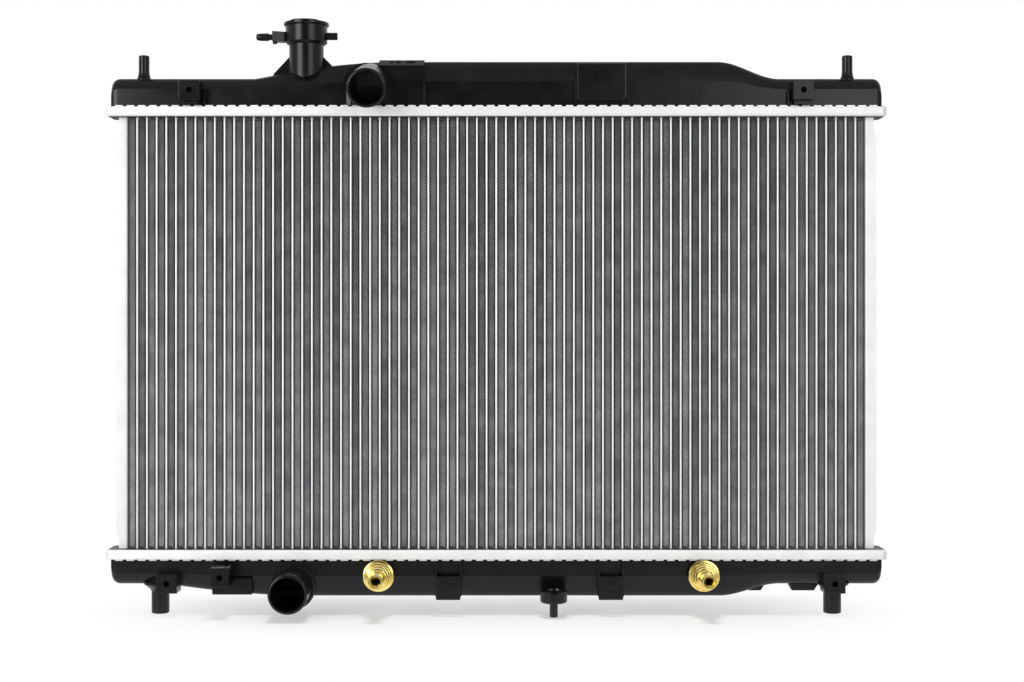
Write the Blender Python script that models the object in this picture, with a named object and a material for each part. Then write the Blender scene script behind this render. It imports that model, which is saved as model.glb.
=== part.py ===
"""Car radiator: an aluminium tube-and-fin core with two crimped nylon tanks.

Units are metres and +Z is up. The engine side, with the hose necks, faces -Y.
Shapes are drawn about the core's middle plane, with z = 0 on the floor under the
pegs. A root empty then puts the origin under the middle of the whole object.
"""
import bmesh
import bpy
from math import atan2, cos, degrees, pi, radians, sin
from mathutils import Matrix, Vector

# Clearances between neighbouring pieces
FIT_GAP = 0.0003
FIN_END_GAP = 0.0005

# Core: flat tubes with corrugated fins between them
CORE_WIDTH = 0.738
CORE_HEIGHT = 0.4315
CORE_BASE = 0.0653
TUBE_BANKS = 15
TUBES_PER_BANK = 5
TUBE_DEPTH = 0.016
TUBE_WIDTH = 0.0018
TUBE_WALL = 0.0003
TUBE_REACH = 0.003
SIDE_PLATE_SHEET = 0.0012
SIDE_PLATE_FLANGE = 0.0084
SIDE_PLATE_WIDE_FLANGE = 0.0112
SIDE_PLATE_NECK = 0.0105
SIDE_PLATE_TAPER = 0.010

# Header plates and gaskets
HEADER_OVERHANG = 0.020
HEADER_DEPTH = 0.036
HEADER_HEIGHT = 0.011
HEADER_SHEET = 0.0015
HEADER_CORNER = 0.006
CRIMP_LIP = 0.0047
GASKET_HEIGHT = 0.0024
GASKET_WIDTH = 0.0055

# Both tanks
TANK_WALL = 0.0025
TANK_CROWN = 0.002
TANK_END_RADIUS = 0.008
BOSS_HOLE_RADIUS = 0.0033
BOSS_HOLE_DEPTH = 0.012
BOSS_WIDTH = 0.021
BOSS_HEIGHT = 0.019
BOSS_REACH = 0.015

# Top tank
TOP_END_RISE = 0.0281
TOP_MID_RISE = 0.0452
TOP_STRAIGHT = 0.0165
TOP_LEFT_RAMP = (-0.242, -0.072)
TOP_RIGHT_RAMP = (0.2225, 0.2835)
PIN_INSET = 0.030
PIN_RADIUS = 0.0053
PIN_HEIGHT = 0.0236
PIN_FLARE = 0.0009
TOP_BOSS_INSET = 0.0805
TOP_BOSS_RISE = 0.0137
BOSS_RIB = 0.0016
BOSS_RIB_REACH = 0.005
PAD_X = 0.105
PAD_WIDTH = 0.051
PAD_HEIGHT = 0.037
PAD_RISE = 0.0237
PAD_PROUD = 0.0020
BLOCK_X = -0.0944
BLOCK_WIDTH = 0.0452
BLOCK_PROUD = 0.0018

# Filler neck
FILLER_X = -0.1908
FILLER_COLUMN_RADIUS = 0.01725
FILLER_CUP_RADIUS = 0.0204
FILLER_RIM_RADIUS = 0.0226
FILLER_SEAT_BORE = 0.0135
FILLER_CUP_BORE = 0.0165
FILLER_CUP_FOOT = 0.0632
FILLER_CUP_HEIGHT = 0.0146
FILLER_RIM_HEIGHT = 0.0049
FILLER_CAM_LIFT = 0.0033
FILLER_CAM_START = 50.0
FILLER_CAM_RAMP = 10.0
FILLER_SEAT = 0.0020
FILLER_THROAT_RADIUS = 0.0115
FILLER_THROAT_BORE = 0.0090
FILLER_THROAT_LOW = 0.0212
FILLER_THROAT_HIGH = 0.0312
GUSSET_LEFT = 0.0315
GUSSET_RIGHT = 0.0260
GUSSET_TOP = 0.0489
GUSSET_THICKNESS = 0.0025
OVERFLOW_RISE = 0.0072
OVERFLOW_BORE = 0.0018
OVERFLOW_BLOCK = 0.0100
OVERFLOW_BLOCK_END = 0.0335
OVERFLOW_NECK_RADIUS = 0.0030
OVERFLOW_BARB_RADIUS = 0.0038
OVERFLOW_BARB_START = 0.0378
OVERFLOW_TIP = 0.0501
STUB_RADIUS = 0.00375
STUB_TIP = 0.0312

# Hose necks
NECK_RADIUS = 0.01875
NECK_BORE = 0.01675
NECK_BEAD = 0.0007
NECK_BEAD_WIDTH = 0.004
INLET_X = -0.1275
INLET_RISE = 0.0212
INLET_TILT = 13.4
INLET_LENGTH = 0.0525
INLET_BOSS_RADIUS = 0.0232
OUTLET_X = -0.2025
OUTLET_DROP = 0.0267
OUTLET_LENGTH = 0.0580
OUTLET_BOSS_RADIUS = 0.0222
NECK_BOSS_PROUD = 0.0035

# Bottom tank
BOTTOM_END_DROP = 0.0247
BOTTOM_MID_DROP = 0.0369
BOTTOM_STRAIGHT = 0.0137
BOTTOM_LEFT_RAMP = (-0.335, -0.187)
BOTTOM_RIGHT_RAMP = (0.2240, 0.2835)
PEG_INSET = 0.0465
PEG_RADIUS = 0.0089
PEG_SKIRT = 0.0050
PEG_BOSS_XS = (-0.3260, 0.3344)
PEG_BOSS_DROP = 0.0116
CLIP_BOSS_X = -0.2708
CLIP_BOSS_DROP = 0.0030
CLIP_BOSS_WIDTH = 0.0184
CLIP_BOSS_REACH = 0.030
SADDLE_X = -0.2640
SADDLE_WIDTH = 0.042
SADDLE_LOW = 0.0338
SADDLE_HIGH = 0.0170
SADDLE_PROUD = 0.0030
POCKET_XS = (-0.0477, 0.1135)
POCKET_WIDTH = 0.0266
POCKET_PLATE_TOP = 0.0125
POCKET_PLATE_FOOT = 0.0368
POCKET_GAP = 0.0085
POCKET_PLATE = 0.0025
POCKET_RIB = 0.0016
POCKET_HOLE_RADIUS = 0.0022
POCKET_HOLE_DROP = 0.0261
FOOT_BLOCK_XS = (0.2600, 0.3070)
FOOT_BLOCK_WIDTHS = (0.0210, 0.0280)
FOOT_BLOCK_DROP = 0.0303
FOOT_BLOCK_DEPTH = 0.012

# Drain cup, spout and plug
DRAIN_X = 0.0568
DRAIN_REACH = 0.0240
DRAIN_CUP_RADIUS = 0.0135
DRAIN_CUP_TOP = 0.0265
DRAIN_CUP_FOOT = 0.0146
DRAIN_SPOUT_RADIUS = 0.0041
DRAIN_SPOUT_BORE = 0.0020
DRAIN_BORE = 0.0054
DRAIN_SEAT = 0.0175
DRAIN_PASSAGE_RADIUS = 0.0013
DRAIN_NOTCH_WIDTH = 0.0060
DRAIN_NOTCH_DEPTH = 0.0022
DRAIN_WEB = 0.0120
DRAIN_PLUG_TOP = 0.0256
DRAIN_SLOT_WIDTH = 0.0014
DRAIN_SLOT_DEPTH = 0.0013
DRAIN_RING_HEIGHT = 0.0013
DRAIN_RING_WIDTH = 0.0010
DRAIN_RING_SEAT = 0.0015

# Oil cooler and its brass fittings
FITTING_XS = (-0.1170, 0.2060)
FITTING_DROP = 0.0140
FITTING_FLANGE_RADIUS = 0.0155
FITTING_FLANGE = 0.0040
FITTING_SHOULDER_RADIUS = 0.0138
FITTING_HUB_RADIUS = 0.0103
FITTING_HUB = 0.0060
FITTING_BOSS_PROUD = 0.0040
FITTING_SHANK_RADIUS = 0.0080
FITTING_SPIGOT_RADIUS = 0.0060
FITTING_NOZZLE_RADIUS = 0.0067
FITTING_BARB_RADIUS = 0.0074
FITTING_BORE = 0.0035
FITTING_TIP = 0.0610
SEAL_HEIGHT = 0.0020
SEAL_RADIUS = 0.0130
COOLER_HALF_DEPTH = 0.0065
COOLER_HALF_HEIGHT = 0.0100
COOLER_WALL = 0.0010
COOLER_END = 0.0200
COOLER_CORNER = 0.0040

# Facets on round shapes
ROUND = 24
FITTING_ROUND = 16
SMALL_ROUND = 12
CORNER_STEPS = 3
ARCH_STEPS = 4
RAMP_STEPS = 6

# Levels and spans that follow from the sizes above
CORE_TOP = CORE_BASE + CORE_HEIGHT
HEADER_TOP = CORE_TOP + HEADER_HEIGHT
HEADER_FOOT = CORE_BASE - HEADER_HEIGHT
HEADER_HALF = CORE_WIDTH / 2 + HEADER_OVERHANG
HEADER_HALF_DEPTH = HEADER_DEPTH / 2
TANK_HALF = HEADER_HALF - CRIMP_LIP - FIT_GAP
TANK_HALF_DEPTH = HEADER_HALF_DEPTH - CRIMP_LIP - FIT_GAP
TROUGH_INSET = HEADER_SHEET + FIT_GAP
FOOT_HEIGHT = HEADER_HEIGHT - 2 * HEADER_SHEET - GASKET_HEIGHT - 3 * FIT_GAP
FOOT_OFFSET = HEADER_SHEET + GASKET_HEIGHT + 2 * FIT_GAP
BLANK_START = -(HEADER_SHEET + FIT_GAP + FOOT_HEIGHT / 2)
TUBE_COUNT = TUBE_BANKS * TUBES_PER_BANK
TUBE_PITCH = CORE_WIDTH / (TUBE_COUNT + 1)
TUBE_SHOULDER = TUBE_DEPTH / 2 - TUBE_WIDTH / 2
FRONT_REACH = max(FITTING_TIP, OUTLET_LENGTH, INLET_LENGTH)
BACK_REACH = max(HEADER_HALF_DEPTH, FILLER_RIM_RADIUS)
CORE_Y = (FRONT_REACH - BACK_REACH) / 2


def clear_scene():
    for old in list(bpy.data.objects):
        bpy.data.objects.remove(old, do_unlink=True)


def finish(name, colour, roughness, metallic):
    material = bpy.data.materials.new(name)
    material.use_nodes = True
    shader = material.node_tree.nodes["Principled BSDF"]
    shader.inputs["Base Color"].default_value = (*colour, 1.0)
    shader.inputs["Roughness"].default_value = roughness
    shader.inputs["Metallic"].default_value = metallic
    return material


def circle(radius, height, sides=ROUND):
    """A ring of points about the Z axis."""
    steps = [2 * pi * i / sides for i in range(sides)]
    return [Vector((radius * cos(a), radius * sin(a), height)) for a in steps]


def rounded_rectangle(half_x, half_y, corner, height):
    """A ring of points with the same count whatever its size."""
    ring = []
    for quarter, (sx, sy) in enumerate(((1, 1), (-1, 1), (-1, -1), (1, -1))):
        for step in range(CORNER_STEPS + 1):
            angle = (quarter + step / CORNER_STEPS) * pi / 2
            x = sx * (half_x - corner) + corner * cos(angle)
            y = sy * (half_y - corner) + corner * sin(angle)
            ring.append(Vector((x, y, height)))
    return ring


def front_outline(points, y):
    """A ring of points in a plane that faces the front."""
    return [Vector((x, y, z)) for x, z in points]


def loft(rings, closed=False):
    """Skin a row of rings. The ends are capped, or joined to each other."""
    mesh = bmesh.new()
    rows = [[mesh.verts.new(point) for point in ring] for ring in rings]
    if closed:
        rows.append(rows[0])
    for low, high in zip(rows, rows[1:]):
        for i in range(len(low)):
            j = (i + 1) % len(low)
            mesh.faces.new((low[i], low[j], high[j], high[i]))
    if not closed:
        mesh.faces.new(rows[0])
        mesh.faces.new(rows[-1])
    bmesh.ops.recalc_face_normals(mesh, faces=mesh.faces)
    return mesh


def box(low, high):
    corners = ((0, 0), (1, 0), (1, 1), (0, 1))
    pick = (low, high)
    rings = [[Vector((pick[i][0], pick[j][1], z)) for i, j in corners] for z in (low[2], high[2])]
    return loft(rings)


def tube_profile(rings, axis_point, direction):
    """Turn a Z-axis loft so that it runs from a point along a direction."""
    turn = Vector((0, 0, 1)).rotation_difference(Vector(direction)).to_matrix().to_4x4()
    place = Matrix.Translation(Vector(axis_point)) @ turn
    return [[place @ point for point in ring] for ring in rings]


def rod(radius, start, end, sides=ROUND):
    start = Vector(start)
    run = Vector(end) - start
    rings = [circle(radius, 0, sides), circle(radius, run.length, sides)]
    return loft(tube_profile(rings, start, run))


def make_object(name, mesh, material, root):
    data = bpy.data.meshes.new(name)
    mesh.to_mesh(data)
    mesh.free()
    data.materials.append(material)
    data.shade_smooth()
    data.set_sharp_from_angle(angle=radians(35))
    item = bpy.data.objects.new(name, data)
    bpy.context.scene.collection.objects.link(item)
    item.parent = root
    return item


def boolean(item, operation, meshes):
    """Join or cut an object by a list of closed meshes, one after another."""
    tools = []
    for mesh in meshes:
        data = bpy.data.meshes.new("tool")
        mesh.to_mesh(data)
        mesh.free()
        tool = bpy.data.objects.new("tool", data)
        bpy.context.scene.collection.objects.link(tool)
        tool.parent = item.parent
        modifier = item.modifiers.new(operation, 'BOOLEAN')
        modifier.operation = operation
        modifier.object = tool
        tools.append(tool)
    bpy.context.view_layer.update()
    evaluated = item.evaluated_get(bpy.context.evaluated_depsgraph_get())
    result = bpy.data.meshes.new_from_object(evaluated)
    item.modifiers.clear()
    item.data = result
    result.set_sharp_from_angle(angle=radians(35))
    for tool in tools:
        bpy.data.objects.remove(tool, do_unlink=True)


def flat_tube(x, half_width, half_depth):
    """Six corners of a flat tube with pointed noses, seen from above."""
    shoulder = half_depth - half_width
    return ((x, -half_depth), (x + half_width, -shoulder), (x + half_width, shoulder),
            (x, half_depth), (x - half_width, shoulder), (x - half_width, -shoulder))


def tube_x(index):
    return (index - (TUBE_COUNT - 1) / 2) * TUBE_PITCH


def tube_bank(first_tube):
    """A row of hollow tubes with the fins between them, brazed into one piece."""
    low = CORE_BASE - HEADER_SHEET - TUBE_REACH
    high = CORE_TOP + HEADER_SHEET + TUBE_REACH
    fin_low = CORE_BASE + FIN_END_GAP
    fin_high = CORE_TOP - FIN_END_GAP
    mesh = bmesh.new()
    verts = {}

    def add_face(*corners):
        for corner in corners:
            if corner not in verts:
                verts[corner] = mesh.verts.new(corner)
        mesh.faces.new([verts[corner] for corner in corners])

    def add_wall(start, end, below, above):
        add_face((*start, below), (*end, below), (*end, above), (*start, above))

    right_side, left_side = 1, 4
    tubes = []
    for place in range(TUBES_PER_BANK):
        x = tube_x(first_tube + place)
        outer = flat_tube(x, TUBE_WIDTH / 2, TUBE_DEPTH / 2)
        inner = flat_tube(x, TUBE_WIDTH / 2 - TUBE_WALL, TUBE_DEPTH / 2 - TUBE_WALL)
        tubes.append(outer)
        finned = set()
        if place > 0:
            finned.add(left_side)
        if place < TUBES_PER_BANK - 1:
            finned.add(right_side)
        for i in range(6):
            j = (i + 1) % 6
            add_wall(inner[i], inner[j], low, high)
            for end in (low, high):
                add_face((*outer[i], end), (*outer[j], end), (*inner[j], end), (*inner[i], end))
            add_wall(outer[i], outer[j], low, fin_low)
            add_wall(outer[i], outer[j], fin_high, high)
            if i not in finned:
                add_wall(outer[i], outer[j], fin_low, fin_high)

    for left, right in zip(tubes, tubes[1:]):
        front = (left[1], right[5])
        back = (left[2], right[4])
        add_wall(*front, fin_low, fin_high)
        add_wall(*back, fin_low, fin_high)
        for end in (fin_low, fin_high):
            add_face((*front[0], end), (*front[1], end), (*back[1], end), (*back[0], end))
    bmesh.ops.recalc_face_normals(mesh, faces=mesh.faces)
    return mesh


def build_core(root, aluminium):
    fin_low = CORE_BASE + FIN_END_GAP
    fin_high = CORE_TOP - FIN_END_GAP
    for bank in range(TUBE_BANKS):
        mesh = tube_bank(bank * TUBES_PER_BANK)
        make_object(f"tube_bank_{bank + 1:02d}", mesh, aluminium, root)
    for strip in range(TUBE_BANKS + 1):
        left = -CORE_WIDTH / 2 + FIT_GAP
        right = CORE_WIDTH / 2 - FIT_GAP
        if strip > 0:
            left = tube_x(strip * TUBES_PER_BANK - 1) + TUBE_WIDTH / 2 + FIT_GAP
        if strip < TUBE_BANKS:
            right = tube_x(strip * TUBES_PER_BANK) - TUBE_WIDTH / 2 - FIT_GAP
        mesh = box((left, -TUBE_SHOULDER, fin_low), (right, TUBE_SHOULDER, fin_high))
        make_object(f"fin_strip_{strip + 1:02d}", mesh, aluminium, root)


def side_plate(side):
    """A U channel, open outwards, whose flanges are narrower at both ends."""
    low = CORE_BASE + FIT_GAP
    high = CORE_TOP - FIT_GAP
    web = CORE_WIDTH / 2
    half = TUBE_DEPTH / 2
    neck = SIDE_PLATE_NECK
    taper = SIDE_PLATE_NECK + SIDE_PLATE_TAPER
    stations = ((low, SIDE_PLATE_FLANGE), (low + neck, SIDE_PLATE_FLANGE),
                (low + taper, SIDE_PLATE_WIDE_FLANGE), (high - taper, SIDE_PLATE_WIDE_FLANGE),
                (high - neck, SIDE_PLATE_FLANGE), (high, SIDE_PLATE_FLANGE))
    rings = []
    for z, flange in stations:
        inside = web + SIDE_PLATE_SHEET
        tip = web + flange
        lip = half - SIDE_PLATE_SHEET
        plan = ((web, -half), (tip, -half), (tip, -lip), (inside, -lip),
                (inside, lip), (tip, lip), (tip, half), (web, half))
        rings.append([Vector((side * x, y, z)) for x, y in plan])
    return loft(rings)


def header(base, up):
    """A trough of sheet whose lip is folded over the tank's foot. up is +1 or -1."""
    half_x, half_y = HEADER_HALF, HEADER_HALF_DEPTH
    top = base + up * HEADER_HEIGHT
    roof = top - up * HEADER_SHEET
    floor = base + up * HEADER_SHEET
    sheet, lip = HEADER_SHEET, CRIMP_LIP
    corner = HEADER_CORNER
    rings = [rounded_rectangle(half_x, half_y, corner, base),
             rounded_rectangle(half_x, half_y, corner, top),
             rounded_rectangle(half_x - lip, half_y - lip, corner - lip, top),
             rounded_rectangle(half_x - lip, half_y - lip, corner - lip, roof),
             rounded_rectangle(half_x - sheet, half_y - sheet, corner - sheet, roof),
             rounded_rectangle(half_x - sheet, half_y - sheet, corner - sheet, floor)]
    return loft(rings)


def tube_slots(base):
    """Cutters for the tube slots in a header, all in one mesh."""
    slots = bmesh.new()
    margin = 2 * HEADER_SHEET
    for index in range(TUBE_COUNT):
        plan = flat_tube(tube_x(index), TUBE_WIDTH / 2 + FIT_GAP, TUBE_DEPTH / 2 + 1.5 * FIT_GAP)
        low = [slots.verts.new((x, y, base - margin)) for x, y in plan]
        high = [slots.verts.new((x, y, base + margin)) for x, y in plan]
        slots.faces.new(low)
        slots.faces.new(high)
        for i in range(6):
            j = (i + 1) % 6
            slots.faces.new((low[i], low[j], high[j], high[i]))
    bmesh.ops.recalc_face_normals(slots, faces=slots.faces)
    return slots


def gasket(base, up):
    low = base + up * (HEADER_SHEET + FIT_GAP)
    high = low + up * GASKET_HEIGHT
    half_x = HEADER_HALF - TROUGH_INSET
    half_y = HEADER_HALF_DEPTH - TROUGH_INSET
    corner = HEADER_CORNER - TROUGH_INSET
    inner_x, inner_y = half_x - GASKET_WIDTH, half_y - GASKET_WIDTH
    inner_corner = FIT_GAP
    rings = [rounded_rectangle(half_x, half_y, corner, low),
             rounded_rectangle(half_x, half_y, corner, high),
             rounded_rectangle(inner_x, inner_y, inner_corner, high),
             rounded_rectangle(inner_x, inner_y, inner_corner, low)]
    return loft(rings, closed=True)


def ease(t):
    t = min(max(t, 0.0), 1.0)
    return t * t * (3 - 2 * t)


def tank_stations(end_rise, mid_rise, left_ramp, right_ramp):
    """Places along a tank from left to right, each with its rise above the header."""
    shares = [i / RAMP_STEPS for i in range(RAMP_STEPS + 1)]
    swell = mid_rise - end_rise
    stations = []
    for t in shares:
        x = left_ramp[0] + t * (left_ramp[1] - left_ramp[0])
        stations.append((x, end_rise + swell * ease(t ** 0.6)))
    for t in shares:
        x = right_ramp[0] + t * (right_ramp[1] - right_ramp[0])
        stations.append((x, mid_rise - swell * ease(t)))
    return stations


def arch(half_y, straight, rise, start):
    """A tank's cross-section: straight sides under a rounded crown, as (y, height)."""
    crown = min(TANK_CROWN, half_y / 2)
    right = []
    for step in range(ARCH_STEPS + 1):
        angle = step / ARCH_STEPS * pi / 2
        right.append((crown + (half_y - crown) * cos(angle), straight + (rise - straight) * sin(angle)))
    left = [(-y, height) for y, height in reversed(right)]
    return [(half_y, start)] + right + left + [(-half_y, start)]


def tank_blank(stations, straight, start, face, up, shrink=0.0):
    """A solid of the tank's outer shape, or of its inside when shrunk by the wall."""
    half_x = TANK_HALF - shrink
    half_y = TANK_HALF_DEPTH - shrink
    radius = TANK_END_RADIUS - shrink
    end_rise = stations[0][1] - shrink
    side = straight - shrink
    ends = []
    for step in range(CORNER_STEPS + 1):
        angle = step / CORNER_STEPS * pi / 2
        drop = radius * (1 - sin(angle))
        ends.append((half_x - radius * (1 - cos(angle)), drop))
    spans = [(-x, half_y - drop / 2, side - drop, end_rise - drop) for x, drop in ends]
    spans += [(x, half_y, side, rise - shrink) for x, rise in stations]
    spans += [(x, half_y - drop / 2, side - drop, end_rise - drop) for x, drop in reversed(ends)]
    rings = []
    for x, depth, shoulder, rise in spans:
        section = arch(depth, shoulder, rise, start)
        rings.append([Vector((x, y, face + up * height)) for y, height in section])
    blank = loft(rings)
    bmesh.ops.triangulate(blank, faces=blank.faces)
    return blank


def tank_foot(face, up):
    low = face - up * (HEADER_HEIGHT - FOOT_OFFSET)
    half_x = HEADER_HALF - TROUGH_INSET
    half_y = HEADER_HALF_DEPTH - TROUGH_INSET
    corner = HEADER_CORNER - TROUGH_INSET
    rings = [rounded_rectangle(half_x, half_y, corner, low),
             rounded_rectangle(half_x, half_y, corner, low + up * FOOT_HEIGHT)]
    return loft(rings)


def tank_cavity(stations, straight, face, up):
    """The space inside a tank, open at the foot."""
    start = -(HEADER_HEIGHT - HEADER_SHEET)
    return tank_blank(stations, straight, start, face, up, TANK_WALL)


def build_hose_neck(name, mouth, inside, root, nylon):
    """A hose neck with a bead at its mouth. It ends flat against its boss on the tank."""
    run = Vector(inside) - Vector(mouth)
    bead = NECK_RADIUS + NECK_BEAD
    profile = ((NECK_BORE, 0), (NECK_RADIUS - NECK_BEAD, 0), (NECK_RADIUS, NECK_BEAD),
               (bead, NECK_BEAD_WIDTH / 2), (bead, NECK_BEAD_WIDTH),
               (NECK_RADIUS, NECK_BEAD_WIDTH + NECK_BEAD), (NECK_RADIUS, run.length), (NECK_BORE, run.length))
    rings = [circle(radius, height) for radius, height in profile]
    neck = make_object(name, loft(tube_profile(rings, mouth, run), closed=True), nylon, root)
    boss_front = -TANK_HALF_DEPTH - NECK_BOSS_PROUD - FIT_GAP
    x, y, z = inside
    margin = 2 * NECK_RADIUS
    beyond = box((x - margin, boss_front, z - margin), (x + margin, y + margin, z + margin))
    boolean(neck, 'DIFFERENCE', [beyond])


def screw_boss(x, z, width, reach):
    """A block on a tank's front, with the cutter for its screw hole."""
    front = -TANK_HALF_DEPTH - reach
    back = -TANK_HALF_DEPTH / 2
    half = BOSS_HEIGHT / 2
    block = box((x - width / 2, front, z - half), (x + width / 2, back, z + half))
    hole = rod(BOSS_HOLE_RADIUS, (x, front - FIT_GAP, z), (x, front + BOSS_HOLE_DEPTH, z), SMALL_ROUND)
    return block, hole


def build_top_tank(root, nylon):
    face = HEADER_TOP
    stations = tank_stations(TOP_END_RISE, TOP_MID_RISE, TOP_LEFT_RAMP, TOP_RIGHT_RAMP)
    end_top = face + TOP_END_RISE
    mid_top = face + TOP_MID_RISE
    wall_y = -TANK_HALF_DEPTH
    sunk = TANK_WALL / 2
    above_lip = face + FIT_GAP
    blank = tank_blank(stations, TOP_STRAIGHT, BLANK_START, face, 1)
    tank = make_object("top_tank", blank, nylon, root)
    joined = [tank_foot(face, 1)]
    cuts = [tank_cavity(stations, TOP_STRAIGHT, face, 1)]

    # Locating pins
    for side in (-1, 1):
        x = side * (TANK_HALF - PIN_INSET)
        low = end_top - sunk
        rings = [circle(PIN_RADIUS + PIN_FLARE, 0, SMALL_ROUND),
                 circle(PIN_RADIUS + PIN_FLARE, sunk + PIN_FLARE, SMALL_ROUND),
                 circle(PIN_RADIUS, sunk + 3 * PIN_FLARE, SMALL_ROUND),
                 circle(PIN_RADIUS, sunk + PIN_HEIGHT - PIN_FLARE, SMALL_ROUND),
                 circle(PIN_RADIUS - PIN_FLARE, sunk + PIN_HEIGHT, SMALL_ROUND)]
        joined.append(loft(tube_profile(rings, (x, 0, low), (0, 0, 1))))

    # Screw bosses, each with a rib down to the foot on its inner side
    for side in (-1, 1):
        x = side * (TANK_HALF - TOP_BOSS_INSET)
        block, hole = screw_boss(x, face + TOP_BOSS_RISE, BOSS_WIDTH, BOSS_REACH)
        rib_x = x - side * (BOSS_WIDTH / 2 + BOSS_RIB)
        rib = box((rib_x - BOSS_RIB / 2, wall_y - BOSS_RIB_REACH, above_lip),
                  (rib_x + BOSS_RIB / 2, wall_y / 2, face + TOP_BOSS_RISE + BOSS_HEIGHT / 2))
        joined += [block, rib]
        cuts.append(hole)

    # Raised pads on the front and the crest
    pad_z = face + PAD_RISE
    joined.append(box((PAD_X - PAD_WIDTH / 2, wall_y - PAD_PROUD, pad_z - PAD_HEIGHT / 2),
                      (PAD_X + PAD_WIDTH / 2, -TANK_CROWN, pad_z + PAD_HEIGHT / 2)))
    joined.append(box((BLOCK_X - BLOCK_WIDTH / 2, wall_y - BLOCK_PROUD, above_lip + FIT_GAP),
                      (BLOCK_X + BLOCK_WIDTH / 2, TANK_CROWN / 2, mid_top + BLOCK_PROUD)))

    gussets, way_in = build_filler_neck(face, root, nylon)
    joined += gussets
    cuts.append(way_in)

    # Upper hose neck, tilted down, on an arched boss
    tilt = radians(INLET_TILT)
    centre = Vector((INLET_X, wall_y, face + INLET_RISE))
    forward = Vector((0, -cos(tilt), -sin(tilt)))
    mouth = centre + forward * (INLET_LENGTH - TANK_HALF_DEPTH) / cos(tilt)
    inside = centre - forward * TANK_HALF_DEPTH
    build_hose_neck("inlet_neck", mouth, inside, root, nylon)
    cuts.append(rod(NECK_BORE, mouth, inside))
    outline = [(INLET_X + INLET_BOSS_RADIUS * cos(pi * i / SMALL_ROUND),
                face + INLET_RISE + INLET_BOSS_RADIUS * sin(pi * i / SMALL_ROUND))
               for i in range(SMALL_ROUND + 1)]
    outline += [(INLET_X - INLET_BOSS_RADIUS, above_lip), (INLET_X + INLET_BOSS_RADIUS, above_lip)]
    joined.append(loft([front_outline(outline, wall_y - NECK_BOSS_PROUD),
                        front_outline(outline, -TANK_CROWN)]))

    boolean(tank, 'UNION', joined)
    boolean(tank, 'DIFFERENCE', cuts)


def cam_circle(radius, height):
    """A filler rim with a raised cam in front and at the back, and flat at its two sides."""
    ring = circle(radius, height)
    for point in ring:
        from_side = degrees(atan2(abs(point.y), abs(point.x)))
        point.z += FILLER_CAM_LIFT * ease((from_side - FILLER_CAM_START) / FILLER_CAM_RAMP)
    return ring


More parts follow.
